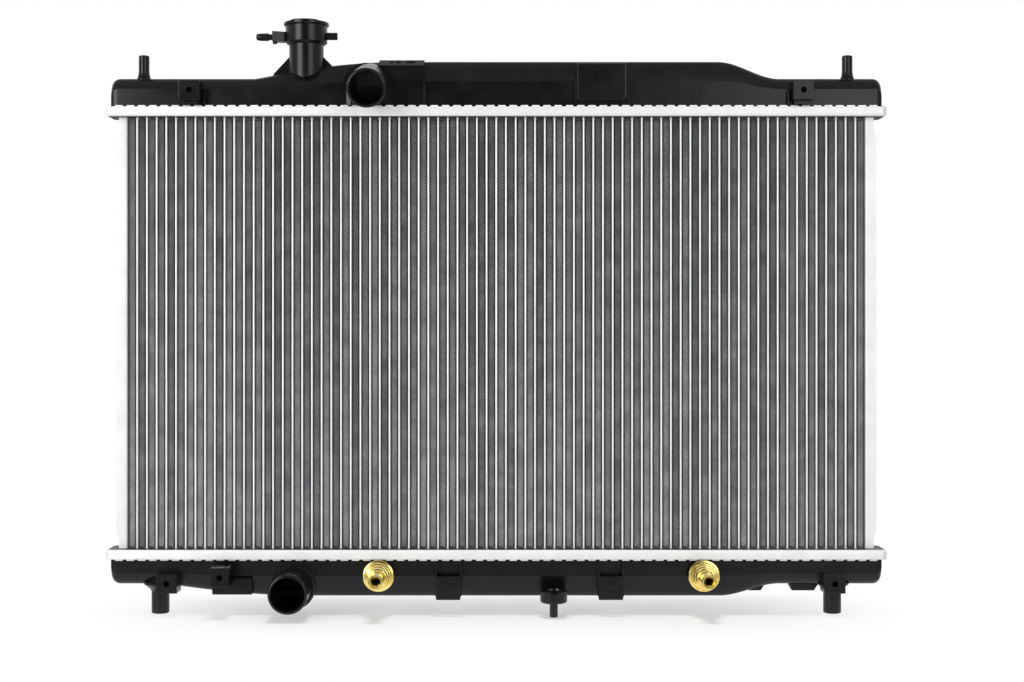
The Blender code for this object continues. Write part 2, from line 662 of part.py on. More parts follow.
def build_filler_neck(face, root, nylon):
    """The filler neck. The tank gets the gussets beside it and the hole that it stands in."""
    cup_foot = face + FILLER_CUP_FOOT
    cup_top = cup_foot + FILLER_CUP_HEIGHT
    rim_top = cup_top + FILLER_RIM_HEIGHT
    throat_low = face + FILLER_THROAT_LOW
    throat_high = face + FILLER_THROAT_HIGH
    start = face + TANK_WALL
    axis = Vector((FILLER_X, 0, 0))
    step = FILLER_RIM_RADIUS - FILLER_CUP_RADIUS
    seat = cup_foot + FILLER_SEAT
    rings = [circle(FILLER_THROAT_RADIUS, start), circle(FILLER_THROAT_RADIUS, throat_low),
             circle(FILLER_COLUMN_RADIUS, throat_high), circle(FILLER_COLUMN_RADIUS, cup_foot),
             circle(FILLER_CUP_RADIUS, cup_foot), circle(FILLER_CUP_RADIUS, cup_top - step),
             circle(FILLER_RIM_RADIUS, cup_top), cam_circle(FILLER_RIM_RADIUS, rim_top),
             cam_circle(FILLER_CUP_BORE, rim_top), circle(FILLER_CUP_BORE, seat),
             circle(FILLER_SEAT_BORE, seat), circle(FILLER_SEAT_BORE, throat_high + TANK_WALL),
             circle(FILLER_THROAT_BORE, throat_low + TANK_WALL), circle(FILLER_THROAT_BORE, start)]
    lathed = loft(tube_profile(rings, axis, (0, 0, 1)), closed=True)
    bmesh.ops.triangulate(lathed, faces=lathed.faces)
    neck = make_object("filler_neck", lathed, nylon, root)
    throat_hole = FILLER_THROAT_RADIUS + FIT_GAP
    column_hole = FILLER_COLUMN_RADIUS + FIT_GAP
    rings = [circle(throat_hole, face), circle(throat_hole, throat_low),
             circle(column_hole, throat_high), circle(column_hole, cup_foot)]
    way_in = loft(tube_profile(rings, axis, (0, 0, 1)))

    # Gussets between the column and the tank's crest
    gussets = []
    inner = FILLER_COLUMN_RADIUS - TANK_WALL / 2
    low = face + TOP_END_RISE + TANK_WALL
    for side, reach in ((-1, GUSSET_LEFT), (1, GUSSET_RIGHT)):
        foot_z = low + (side + 1) * TANK_WALL
        outline = [(FILLER_X + side * inner, foot_z), (FILLER_X + side * reach, foot_z),
                   (FILLER_X + side * reach, foot_z + TANK_WALL),
                   (FILLER_X + side * inner, face + GUSSET_TOP)]
        half = GUSSET_THICKNESS / 2
        gussets.append(loft([front_outline(outline, -half), front_outline(outline, half)]))

    # Overflow nipple to the left, blind stub to the right
    level = cup_foot + OVERFLOW_RISE
    wall = FILLER_CUP_RADIUS - TANK_WALL / 2
    half = OVERFLOW_BLOCK / 2
    joined = [box((FILLER_X - OVERFLOW_BLOCK_END, -half, level - half),
                  (FILLER_X - wall, half, level + half))]
    barb_slope = (OVERFLOW_BARB_RADIUS - OVERFLOW_NECK_RADIUS) * 4
    sunk = OVERFLOW_BLOCK_END - TANK_WALL
    barb = [circle(OVERFLOW_NECK_RADIUS, sunk, SMALL_ROUND),
            circle(OVERFLOW_NECK_RADIUS, OVERFLOW_BARB_START, SMALL_ROUND),
            circle(OVERFLOW_BARB_RADIUS, OVERFLOW_BARB_START, SMALL_ROUND),
            circle(OVERFLOW_BARB_RADIUS, OVERFLOW_TIP - barb_slope, SMALL_ROUND),
            circle(OVERFLOW_NECK_RADIUS, OVERFLOW_TIP, SMALL_ROUND)]
    centre = (FILLER_X, 0, level)
    joined.append(loft(tube_profile(barb, centre, (-1, 0, 0))))
    joined.append(rod(STUB_RADIUS, (FILLER_X + wall, 0, level), (FILLER_X + STUB_TIP, 0, level),
                      SMALL_ROUND))
    boolean(neck, 'UNION', joined)
    bore = rod(OVERFLOW_BORE, (FILLER_X - OVERFLOW_TIP - TANK_WALL, 0, level), centre, SMALL_ROUND)
    boolean(neck, 'DIFFERENCE', [bore])
    return gussets, way_in


def build_bottom_tank(root, nylon):
    face = HEADER_FOOT
    stations = tank_stations(BOTTOM_END_DROP, BOTTOM_MID_DROP, BOTTOM_LEFT_RAMP, BOTTOM_RIGHT_RAMP)
    wall_y = -TANK_HALF_DEPTH
    sunk = TANK_WALL / 2
    shoulder = face - BOTTOM_STRAIGHT
    blank = tank_blank(stations, BOTTOM_STRAIGHT, BLANK_START, face, -1)
    tank = make_object("bottom_tank", blank, nylon, root)
    joined = [tank_foot(face, -1)]
    cuts = [tank_cavity(stations, BOTTOM_STRAIGHT, face, -1)]

    # Pegs with a skirt, and a screw boss in front of each
    for side, boss_x in zip((-1, 1), PEG_BOSS_XS):
        x = side * (TANK_HALF - PEG_INSET)
        base = face - BOTTOM_END_DROP
        rings = [circle(PEG_RADIUS - PIN_FLARE, 0), circle(PEG_RADIUS, PIN_FLARE),
                 circle(PEG_RADIUS, base - PEG_SKIRT), circle(PEG_RADIUS + PEG_SKIRT / 2, base + sunk),
                 circle(PEG_RADIUS, shoulder)]
        joined.append(loft(tube_profile(rings, (x, 0, 0), (0, 0, 1))))
        block, hole = screw_boss(boss_x, face - PEG_BOSS_DROP - BOSS_HEIGHT / 2, BOSS_WIDTH, BOSS_REACH)
        joined.append(block)
        cuts.append(hole)

    # Long boss for a hose clip, and the saddle block beside it
    block, hole = screw_boss(CLIP_BOSS_X, face - CLIP_BOSS_DROP - BOSS_HEIGHT / 2,
                             CLIP_BOSS_WIDTH, CLIP_BOSS_REACH)
    joined.append(block)
    cuts.append(hole)
    joined.append(box((SADDLE_X - SADDLE_WIDTH / 2, wall_y - SADDLE_PROUD, face - SADDLE_LOW),
                      (SADDLE_X + SADDLE_WIDTH / 2, TANK_CROWN, face - SADDLE_HIGH)))
    for x, width in zip(FOOT_BLOCK_XS, FOOT_BLOCK_WIDTHS):
        joined.append(box((x - width / 2, -sunk, face - FOOT_BLOCK_DROP),
                          (x + width / 2, FOOT_BLOCK_DEPTH - sunk, shoulder)))

    # Lower hose neck on a round boss that hangs below the tank
    axis_z = face - OUTLET_DROP
    mouth = (OUTLET_X, -OUTLET_LENGTH, axis_z)
    deep = (OUTLET_X, TANK_HALF_DEPTH / 2, axis_z)
    inside = (OUTLET_X, TANK_HALF_DEPTH / 2 - TANK_WALL, axis_z)
    build_hose_neck("outlet_neck", mouth, inside, root, nylon)
    joined.append(rod(OUTLET_BOSS_RADIUS, (OUTLET_X, wall_y - NECK_BOSS_PROUD, axis_z), deep))
    cuts.append(rod(NECK_BORE, mouth, inside))

    for name, x in zip(("left", "right"), POCKET_XS):
        clearance = tank_blank(stations, BOTTOM_STRAIGHT, BLANK_START, face, -1, -FIT_GAP)
        build_shroud_pocket(f"{name}_shroud_pocket", x, face, clearance, root, nylon)
    cup, cup_cuts = drain_cup()
    joined += cup
    cuts += cup_cuts

    # Round bosses and holes for the oil fittings
    for x in FITTING_XS:
        level = face - FITTING_DROP
        joined.append(rod(SEAL_RADIUS, (x, wall_y - FITTING_BOSS_PROUD, level),
                          (x, wall_y / 2, level)))
        cuts.append(rod(FITTING_SHANK_RADIUS + FIT_GAP, (x, wall_y - FITTING_BOSS_PROUD - TANK_WALL, level),
                        (x, wall_y + 2 * TANK_WALL, level)))

    boolean(tank, 'UNION', joined)
    boolean(tank, 'DIFFERENCE', cuts)


def build_shroud_pocket(name, x, face, clearance, root, nylon):
    """A plate hung on two ribs in front of the tank, open above for a tab."""
    wall_y = -TANK_HALF_DEPTH
    back = wall_y / 2
    plate_back = wall_y - POCKET_GAP
    plate_front = plate_back - POCKET_PLATE
    half = POCKET_WIDTH / 2
    low = face - POCKET_PLATE_FOOT
    high = face - POCKET_PLATE_TOP
    plate = box((x - half, plate_front, low), (x + half, plate_back, high))
    pocket = make_object(name, plate, nylon, root)
    ribs = []
    rib_foot = face - BOTTOM_MID_DROP + 3 * TANK_WALL
    for side in (-1, 1):
        outer = x + side * half
        inner = outer - side * POCKET_RIB
        outline = [(back, rib_foot), (back, face - FIT_GAP), (wall_y - POCKET_RIB, face - FIT_GAP),
                   (plate_back - POCKET_PLATE / 2, high - POCKET_PLATE),
                   (plate_back - POCKET_PLATE / 2, rib_foot)]
        rings = [[Vector((rib_x, y, z)) for y, z in outline] for rib_x in (inner, outer - side * FIT_GAP)]
        ribs.append(loft(rings))
    level = face - POCKET_HOLE_DROP
    hole = rod(POCKET_HOLE_RADIUS, (x, plate_front - POCKET_PLATE, level),
               (x, plate_back + FIT_GAP, level), SMALL_ROUND)
    boolean(pocket, 'UNION', ribs)
    boolean(pocket, 'DIFFERENCE', [hole, clearance])


def drain_cup():
    """The cup in front of the tank that holds the drain plug, with its spout."""
    axis = Vector((DRAIN_X, -DRAIN_REACH, 0))
    up = (0, 0, 1)
    rings = [circle(DRAIN_SPOUT_RADIUS - FIT_GAP, 0), circle(DRAIN_SPOUT_RADIUS, FIT_GAP),
             circle(DRAIN_SPOUT_RADIUS, DRAIN_CUP_FOOT), circle(DRAIN_CUP_RADIUS - FIT_GAP, DRAIN_CUP_FOOT),
             circle(DRAIN_CUP_RADIUS, DRAIN_CUP_FOOT + FIT_GAP), circle(DRAIN_CUP_RADIUS, DRAIN_CUP_TOP)]
    cup = loft(tube_profile(rings, axis, up))
    bore = [circle(DRAIN_SPOUT_BORE, -FIT_GAP), circle(DRAIN_SPOUT_BORE, DRAIN_SEAT),
            circle(DRAIN_BORE, DRAIN_SEAT), circle(DRAIN_BORE, DRAIN_CUP_TOP + FIT_GAP)]
    web = box((DRAIN_X - DRAIN_WEB, -DRAIN_REACH, DRAIN_CUP_FOOT + FIT_GAP),
              (DRAIN_X + DRAIN_WEB, -TANK_CROWN, DRAIN_CUP_TOP - FIT_GAP))
    passage_z = HEADER_FOOT - BOTTOM_MID_DROP + TANK_WALL + DRAIN_PASSAGE_RADIUS / 2
    passage = rod(DRAIN_PASSAGE_RADIUS, (DRAIN_X, -DRAIN_REACH, passage_z), (DRAIN_X, 0, passage_z),
                  SMALL_ROUND)
    half = DRAIN_NOTCH_WIDTH / 2
    notch = box((DRAIN_X - half, -DRAIN_REACH - 2 * DRAIN_CUP_RADIUS, DRAIN_CUP_TOP - DRAIN_NOTCH_DEPTH),
                (DRAIN_X + half, -DRAIN_REACH, DRAIN_CUP_TOP + DRAIN_NOTCH_DEPTH))
    return [cup, web], [loft(tube_profile(bore, axis, up)), passage, notch]


def build_drain_plug(root, nylon, rubber):
    """A slotted screw plug with an O-ring. Its origin is on the screw's axis."""
    plug_radius = DRAIN_BORE - FIT_GAP
    foot = DRAIN_SEAT + FIT_GAP
    groove_top = DRAIN_PLUG_TOP - DRAIN_RING_SEAT
    ring_high = groove_top - FIT_GAP
    ring_low = ring_high - DRAIN_RING_HEIGHT
    groove_low = ring_low - FIT_GAP
    ring_outer = DRAIN_BORE - FIT_GAP
    ring_inner = ring_outer - DRAIN_RING_WIDTH
    groove_radius = ring_inner - FIT_GAP
    axis = Vector((DRAIN_X, -DRAIN_REACH, 0))

    profile = ((plug_radius - FIT_GAP, foot), (plug_radius, foot + FIT_GAP), (plug_radius, groove_low),
               (groove_radius, groove_low), (groove_radius, groove_top), (plug_radius, groove_top),
               (plug_radius, DRAIN_PLUG_TOP))
    rings = [circle(radius, height, FITTING_ROUND) for radius, height in profile]
    plug = make_object("drain_plug", loft(rings), nylon, root)
    plug.location = axis
    half = DRAIN_SLOT_WIDTH / 2
    slot = box((-DRAIN_BORE, -half, DRAIN_PLUG_TOP - DRAIN_SLOT_DEPTH),
               (DRAIN_BORE, half, DRAIN_PLUG_TOP + DRAIN_SLOT_DEPTH))
    bmesh.ops.translate(slot, verts=slot.verts, vec=axis)
    boolean(plug, 'DIFFERENCE', [slot])

    profile = ((ring_inner, ring_low), (ring_outer, ring_low),
               (ring_outer, ring_high), (ring_inner, ring_high))
    rings = [circle(radius, height, FITTING_ROUND) for radius, height in profile]
    seal = make_object("drain_seal", loft(rings, closed=True), rubber, root)
    seal.location = axis


def build_oil_cooler(root, aluminium, brass, rubber):
    """A flat box cooler in the bottom tank, with a brass fitting at each end."""
    level = HEADER_FOOT - FITTING_DROP
    seal_low = TANK_HALF_DEPTH + FITTING_BOSS_PROUD + FIT_GAP
    seal_high = seal_low + SEAL_HEIGHT
    flange_low = seal_high + FIT_GAP
    flange_high = flange_low + FITTING_FLANGE
    hub_high = flange_high + FITTING_HUB
    spigot = COOLER_HALF_DEPTH - 2 * COOLER_WALL
    shoulder = COOLER_HALF_DEPTH + FIT_GAP
    barb_step = FITTING_BARB_RADIUS - FITTING_NOZZLE_RADIUS
    nozzle_low = hub_high + FITTING_HUB
    barb_high = FITTING_TIP - FITTING_HUB
    forward = (0, -1, 0)
    for side, x in zip(("left", "right"), FITTING_XS):
        profile = ((FITTING_BORE, spigot), (FITTING_SPIGOT_RADIUS, spigot),
                   (FITTING_SPIGOT_RADIUS, shoulder), (FITTING_SHANK_RADIUS, shoulder),
                   (FITTING_SHANK_RADIUS, flange_low), (FITTING_FLANGE_RADIUS, flange_low),
                   (FITTING_FLANGE_RADIUS, flange_high), (FITTING_SHOULDER_RADIUS, flange_high),
                   (FITTING_HUB_RADIUS, hub_high), (FITTING_NOZZLE_RADIUS, nozzle_low),
                   (FITTING_NOZZLE_RADIUS, barb_high), (FITTING_BARB_RADIUS, barb_high),
                   (FITTING_BARB_RADIUS, barb_high + barb_step),
                   (FITTING_NOZZLE_RADIUS, FITTING_TIP), (FITTING_BORE, FITTING_TIP))
        rings = [circle(radius, reach, FITTING_ROUND) for radius, reach in profile]
        mesh = loft(tube_profile(rings, (x, 0, level), forward), closed=True)
        make_object(f"oil_fitting_{side}", mesh, brass, root)
        inner = FITTING_SHANK_RADIUS + FIT_GAP
        profile = ((inner, seal_low), (SEAL_RADIUS, seal_low), (SEAL_RADIUS, seal_high), (inner, seal_high))
        rings = [circle(radius, reach, FITTING_ROUND) for radius, reach in profile]
        mesh = loft(tube_profile(rings, (x, 0, level), forward), closed=True)
        make_object(f"oil_fitting_seal_{side}", mesh, rubber, root)

    left = FITTING_XS[0] - COOLER_END
    right = FITTING_XS[1] + COOLER_END
    half_x = (right - left) / 2
    middle = Vector(((left + right) / 2, 0, level))
    turn = Matrix.Translation(middle) @ Matrix.Rotation(pi / 2, 4, 'X')

    def casing(shrink):
        rings = [rounded_rectangle(half_x - shrink, COOLER_HALF_HEIGHT - shrink, COOLER_CORNER - shrink, z)
                 for z in (-COOLER_HALF_DEPTH + shrink, COOLER_HALF_DEPTH - shrink)]
        mesh = loft(rings)
        bmesh.ops.transform(mesh, matrix=turn, verts=mesh.verts)
        return mesh

    cooler = make_object("oil_cooler", casing(0.0), aluminium, root)
    ports = [rod(FITTING_SPIGOT_RADIUS + FIT_GAP, (x, -2 * COOLER_HALF_DEPTH, level), (x, 0, level))
             for x in FITTING_XS]
    boolean(cooler, 'DIFFERENCE', [casing(COOLER_WALL)] + ports)


def build_headers(root, aluminium, rubber):
    for name, base, up in (("top", CORE_TOP, 1), ("bottom", CORE_BASE, -1)):
        plate = make_object(f"{name}_header", header(base, up), aluminium, root)
        boolean(plate, 'DIFFERENCE', [tube_slots(base)])
        make_object(f"{name}_gasket", gasket(base, up), rubber, root)


def build_radiator():
    clear_scene()
    root = bpy.data.objects.new("radiator_root", None)
    bpy.context.scene.collection.objects.link(root)
    nylon = finish("black_nylon", (0.018, 0.018, 0.019), 0.42, 0.0)
    aluminium = finish("brazed_aluminium", (0.78, 0.79, 0.80), 0.38, 1.0)
    brass = finish("turned_brass", (0.72, 0.52, 0.24), 0.30, 1.0)
    rubber = finish("epdm_rubber", (0.012, 0.012, 0.012), 0.75, 0.0)
    build_core(root, aluminium)
    for name, side in (("left", -1), ("right", 1)):
        make_object(f"{name}_side_plate", side_plate(side), aluminium, root)
    build_headers(root, aluminium, rubber)
    build_top_tank(root, nylon)
    build_bottom_tank(root, nylon)
    build_drain_plug(root, nylon, rubber)
    build_oil_cooler(root, aluminium, brass, rubber)
    root.location = (0.0, CORE_Y, 0.0)
    bpy.context.view_layer.update()


build_radiator()
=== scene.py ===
"""A car radiator as it stands on a white studio floor, seen from its engine side."""
import bmesh
import bpy
from math import atan2, cos, degrees, pi, radians, sin
from mathutils import Matrix, Vector


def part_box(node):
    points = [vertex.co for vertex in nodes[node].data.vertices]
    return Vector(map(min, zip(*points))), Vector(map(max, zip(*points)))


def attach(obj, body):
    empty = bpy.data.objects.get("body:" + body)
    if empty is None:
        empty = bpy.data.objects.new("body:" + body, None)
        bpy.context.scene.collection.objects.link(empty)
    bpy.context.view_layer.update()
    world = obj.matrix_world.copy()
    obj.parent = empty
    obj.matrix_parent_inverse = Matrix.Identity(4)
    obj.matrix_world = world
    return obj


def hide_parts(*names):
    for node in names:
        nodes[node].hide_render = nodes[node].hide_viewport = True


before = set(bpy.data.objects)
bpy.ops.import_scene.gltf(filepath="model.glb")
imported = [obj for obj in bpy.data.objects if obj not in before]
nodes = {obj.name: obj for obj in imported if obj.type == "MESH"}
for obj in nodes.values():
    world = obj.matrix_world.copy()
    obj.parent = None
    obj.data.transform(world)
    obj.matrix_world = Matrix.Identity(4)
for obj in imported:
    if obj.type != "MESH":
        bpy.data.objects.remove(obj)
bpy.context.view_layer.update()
mm = 0.001


# Coolant tubes and fins: flat extruded aluminium tubes with folded fin strips between
# them, all furnace-brazed into one block. The tubes' round noses catch the light, while
# the fins lie in their own shade and show as grey; painted shade in their colour darkens
# them further, with a dark seam along each tube.
CORE_WIDTH = 738 * mm
TUBE_COUNT = 75
TUBES_PER_BANK = 5
TUBE_PITCH = CORE_WIDTH / (TUBE_COUNT + 1)
TUBE_WIDTH = 1.9 * mm
TUBE_DEPTH = 16 * mm
FOLD_PITCH = 2.35 * mm
FOLD_FLAT = 0.3 * mm
FIN_SHEET = 0.13 * mm
FIN_RISE = 2.6 * mm
FIN_DEPTH = 15.2 * mm
FIN_END = 0.4 * mm
# Painted shade on the fins: at their ends, beside the tube bends, and inwards from the open edges
PAINTED_SHADE_END = 3.2 * mm
PAINTED_SHADE_BEND = 1.5 * mm
PAINTED_SHADE_DEPTH = 4 * mm

core_low, core_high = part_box("fin_strip_08")
core_y = (core_low.y + core_high.y) / 2
core_base, core_top = core_low.z, core_high.z


def linear(code):
    """An sRGB hex colour as the linear values that Blender's sockets take."""
    parts = [int(code[i:i + 2], 16) / 255 for i in (1, 3, 5)]
    return (*[p / 12.92 if p <= 0.04045 else ((p + 0.055) / 1.055) ** 2.4 for p in parts], 1.0)


def add(tree, kind, into=None, stops=(), **settings):
    """Add a node with its settings. An input takes a value, a socket to link, a node for
    its first output, or a list of these where the input joins several. Stops are the
    positions and hex colours of a colour ramp."""
    node = tree.nodes.new(kind)
    for name, value in settings.items():
        setattr(node, name, value)
    for number, (position, code) in enumerate(stops):
        node.color_ramp.elements[number].position = position
        node.color_ramp.elements[number].color = linear(code)
    for socket, value in (into or {}).items():
        target = node.inputs[socket] if isinstance(socket, int) else next(
            entry for entry in node.inputs if entry.enabled and entry.name == socket)
        for source in value if isinstance(value, list) else [value]:
            if isinstance(source, bpy.types.Node):
                source = source.outputs[0]
            if isinstance(source, bpy.types.NodeSocket):
                tree.links.new(source, target)
            else:
                target.default_value = source
    return node


def new_material(name):
    """A material, its node tree, and the object coordinates in it."""
    material = bpy.data.materials.new(name)
    material.use_nodes = True
    tree = material.node_tree
    tree.nodes.clear()
    return material, tree, add(tree, "ShaderNodeTexCoord").outputs["Object"]


# Drawn tube: bright, with faint lengthwise streaks from the die, about 0.6 mm apart.
drawn_tube, tree, spot = new_material("drawn_aluminium_tube")
stretched = add(tree, "ShaderNodeMapping", {"Vector": spot, "Scale": (1600, 1600, 25)})
streaks = add(tree, "ShaderNodeTexNoise", {"Vector": stretched, "Scale": 1.0, "Detail": 2.0})
tone = add(tree, "ShaderNodeValToRGB", {"Fac": streaks.outputs["Fac"]},
           stops=((0.3, "#dcdddd"), (0.65, "#ececeb")))
surface = add(tree, "ShaderNodeBsdfPrincipled", {"Base Color": tone, "Metallic": 0.3, "Roughness": 0.42})
add(tree, "ShaderNodeOutputMaterial", {"Surface": surface})

# Fin stock: thin rolled sheet, dulled by the furnace. Little light reaches the inside of the
# core, so painted shade darkens the colour from the open edges to near black some 4 mm in.
# Painted shade also darkens the bends along the tubes and the ends at the header plates,
# and each strip has its own tone.
fin_stock, tree, spot = new_material("furnace_dulled_fin_stock_painted_shade")
where = add(tree, "ShaderNodeSeparateXYZ", {0: spot})
pitches = add(tree, "ShaderNodeMath", {0: where.outputs["X"], 1: TUBE_PITCH}, operation="DIVIDE")
strip = add(tree, "ShaderNodeMath", {0: pitches}, operation="FLOOR")
own = add(tree, "ShaderNodeTexWhiteNoise", {"W": strip}, noise_dimensions="1D")
patches = add(tree, "ShaderNodeTexNoise", {"Vector": spot, "Scale": 60.0, "Detail": 4.0})
mottle = add(tree, "ShaderNodeMath", {0: own.outputs["Value"], 1: 0.35, 2: patches.outputs["Fac"]},
             operation="MULTIPLY_ADD")
tone = add(tree, "ShaderNodeValToRGB", {"Fac": mottle},
           stops=((0.4, "#a9abad"), (0.95, "#f0f0f0")))
# Painted shade: darker inwards from the open edges, beside the tubes and at the ends under the header plates
from_middle = add(tree, "ShaderNodeMath", {0: where.outputs["Y"], 1: core_y}, operation="SUBTRACT")
inwards = add(tree, "ShaderNodeMath", {0: from_middle}, operation="ABSOLUTE")
open_edge = add(tree, "ShaderNodeMapRange", {"Value": inwards, "From Min": FIN_DEPTH / 2 - PAINTED_SHADE_DEPTH,
                                             "From Max": FIN_DEPTH / 2, "To Min": 0.06})
to_tube = add(tree, "ShaderNodeMath", {0: pitches, 1: 0.5}, operation="PINGPONG")
off_tube = add(tree, "ShaderNodeMapRange", {"Value": to_tube, "From Min": PAINTED_SHADE_BEND / TUBE_PITCH,
                                            "From Max": 2 * PAINTED_SHADE_BEND / TUBE_PITCH, "To Min": 0.1})
middle_z = (core_base + core_top) / 2
from_centre = add(tree, "ShaderNodeMath", {0: where.outputs["Z"], 1: middle_z}, operation="SUBTRACT")
upwards = add(tree, "ShaderNodeMath", {0: from_centre}, operation="ABSOLUTE")
off_end = add(tree, "ShaderNodeMapRange", {"Value": upwards, "To Min": 1.0, "To Max": 0.1,
                                           "From Min": core_top - middle_z - PAINTED_SHADE_END,
                                           "From Max": core_top - middle_z - FIN_END})
lit = add(tree, "ShaderNodeMath", {0: open_edge, 1: off_tube}, operation="MULTIPLY")
light = add(tree, "ShaderNodeMath", {0: lit, 1: off_end}, operation="MULTIPLY")
shade = add(tree, "ShaderNodeVectorMath", {0: tone.outputs["Color"], "Scale": light}, operation="SCALE")
surface = add(tree, "ShaderNodeBsdfPrincipled", {"Base Color": shade, "Metallic": 0.3, "Roughness": 0.5})
add(tree, "ShaderNodeOutputMaterial", {"Surface": surface})


def new_growth(name, inputs):
    """A node tree that makes geometry, the identifiers of its inputs, and their sockets."""
    tree = bpy.data.node_groups.new(name, "GeometryNodeTree")
    tree.interface.new_socket("Geometry", in_out="OUTPUT", socket_type="NodeSocketGeometry")
    identifiers = {}
    for kind, labels in inputs.items():
        for label in labels:
            socket = tree.interface.new_socket(label, in_out="INPUT", socket_type="NodeSocket" + kind)
            identifiers[label] = socket.identifier
    return tree, identifiers, add(tree, "NodeGroupInput").outputs


bank, bank_inputs, given = new_growth("tubes_and_folded_fins", {
    "Int": ("Folds", "Fin columns", "Tubes"),
    "Float": ("Fold pitch", "Fold flat", "Fin width", "Fin height", "Fin depth", "Fin rise", "Fin sheet",
              "Tube width", "Tube depth", "Tube length"),
    "Vector": ("First fin", "First tube", "Step"),
    "Material": ("Fin stock", "Tube stock")})

# One fin: a grid whose rows of points go in pairs to the left and right crests in turn. Across
# the depth the sheet rises to the middle and falls again, as the louvres do, so that
# nobody can look straight through the core. Under the top plate the last folds are crushed.
row_count = add(bank, "ShaderNodeMath", {0: given["Folds"], 1: 4.0}, operation="MULTIPLY")
row_span = add(bank, "ShaderNodeMath", {0: row_count, 1: 1.0}, operation="SUBTRACT")
grid = add(bank, "GeometryNodeMeshGrid", {"Size X": row_span, "Size Y": 2.0,
                                          "Vertices X": row_count, "Vertices Y": 3})
place = add(bank, "GeometryNodeInputPosition")
flat = add(bank, "ShaderNodeSeparateXYZ", {0: place})
half_span = add(bank, "ShaderNodeMath", {0: row_span, 1: 0.5}, operation="MULTIPLY")
shifted = add(bank, "ShaderNodeMath", {0: flat.outputs["X"], 1: half_span}, operation="ADD")
row = add(bank, "ShaderNodeMath", {0: shifted}, operation="ROUND")
halved = add(bank, "ShaderNodeMath", {0: row, 1: 0.5}, operation="MULTIPLY")
crest = add(bank, "ShaderNodeMath", {0: halved}, operation="FLOOR")
odd = add(bank, "ShaderNodeMath", {0: row, 1: 2.0}, operation="MODULO")
swap = add(bank, "ShaderNodeMath", {0: crest, 1: 2.0}, operation="MODULO")
side = add(bank, "ShaderNodeMath", {0: swap, 1: 0.5}, operation="SUBTRACT")
across = add(bank, "ShaderNodeMath", {0: side, 1: given["Fin width"]}, operation="MULTIPLY")
half_depth = add(bank, "ShaderNodeMath", {0: given["Fin depth"], 1: 0.5}, operation="MULTIPLY")
through = add(bank, "ShaderNodeMath", {0: flat.outputs["Y"], 1: half_depth}, operation="MULTIPLY")
half_pitch = add(bank, "ShaderNodeMath", {0: given["Fold pitch"], 1: 0.5}, operation="MULTIPLY")
level = add(bank, "ShaderNodeMath", {0: crest, 1: half_pitch}, operation="MULTIPLY")
on_flat = add(bank, "ShaderNodeMath", {0: odd, 1: given["Fold flat"], 2: level},
              operation="MULTIPLY_ADD")
edge = add(bank, "ShaderNodeMath", {0: flat.outputs["Y"]}, operation="ABSOLUTE")
inward = add(bank, "ShaderNodeMath", {0: 1.0, 1: edge}, operation="SUBTRACT")
room = add(bank, "ShaderNodeMath", {0: given["Fin height"], 1: on_flat}, operation="SUBTRACT")
crushed = add(bank, "ShaderNodeMath", {0: room, 1: 0.8}, operation="MULTIPLY")
rise = add(bank, "ShaderNodeMath", {0: crushed, 1: given["Fin rise"]}, operation="MINIMUM")
lifted = add(bank, "ShaderNodeMath", {0: inward, 1: rise, 2: on_flat},
             operation="MULTIPLY_ADD")
folded = add(bank, "ShaderNodeCombineXYZ", {0: across, 1: through, 2: lifted})
sheet = add(bank, "GeometryNodeSetPosition", {"Geometry": grid.outputs["Mesh"], "Position": folded})
thick = add(bank, "GeometryNodeExtrudeMesh", {"Mesh": sheet, "Offset Scale": given["Fin sheet"],
                                              "Individual": False}, mode="FACES")
under = add(bank, "GeometryNodeFlipFaces", {"Mesh": sheet})
shell = add(bank, "GeometryNodeJoinGeometry", {0: [thick, under]})
fin = add(bank, "GeometryNodeMergeByDistance", {"Geometry": shell, "Distance": 1e-6})
fin_places = add(bank, "GeometryNodeMeshLine", {"Count": given["Fin columns"], "Offset": given["Step"],
                                                "Start Location": given["First fin"]}, mode="OFFSET")
fins = add(bank, "GeometryNodeInstanceOnPoints", {"Points": fin_places, "Instance": fin})
real_fins = add(bank, "GeometryNodeRealizeInstances", {"Geometry": fins})
dull_fins = add(bank, "GeometryNodeSetMaterial", {"Geometry": real_fins, "Material": given["Fin stock"]})

# One tube: a flat section with round noses, drawn up to its length.
section = add(bank, "GeometryNodeCurvePrimitiveQuadrilateral", {"Width": given["Tube width"],
                                                                "Height": given["Tube depth"]})
nose = add(bank, "ShaderNodeMath", {0: given["Tube width"], 1: 0.495}, operation="MULTIPLY")
rounded = add(bank, "GeometryNodeFilletCurve", {"Curve": section, "Count": 4, "Radius": nose},
              mode="POLY")
floor_face = add(bank, "GeometryNodeFillCurve", {"Curve": rounded}, mode="NGONS")
drawn = add(bank, "GeometryNodeExtrudeMesh", {"Mesh": floor_face, "Offset": (0, 0, 1), "Individual": False,
                                              "Offset Scale": given["Tube length"]}, mode="FACES")
tube_foot = add(bank, "GeometryNodeFlipFaces", {"Mesh": floor_face})
tube_shell = add(bank, "GeometryNodeJoinGeometry", {0: [drawn, tube_foot]})
tube = add(bank, "GeometryNodeMergeByDistance", {"Geometry": tube_shell, "Distance": 1e-6})
tube_places = add(bank, "GeometryNodeMeshLine", {"Count": given["Tubes"], "Offset": given["Step"],
                                                 "Start Location": given["First tube"]}, mode="OFFSET")
tubes = add(bank, "GeometryNodeInstanceOnPoints", {"Points": tube_places, "Instance": tube})
real_tubes = add(bank, "GeometryNodeRealizeInstances", {"Geometry": tubes})
bright_tubes = add(bank, "GeometryNodeSetMaterial", {"Geometry": real_tubes,
                                                     "Material": given["Tube stock"]})
block = add(bank, "GeometryNodeJoinGeometry", {0: [dull_fins, bright_tubes]})
add(bank, "NodeGroupOutput", {0: block})


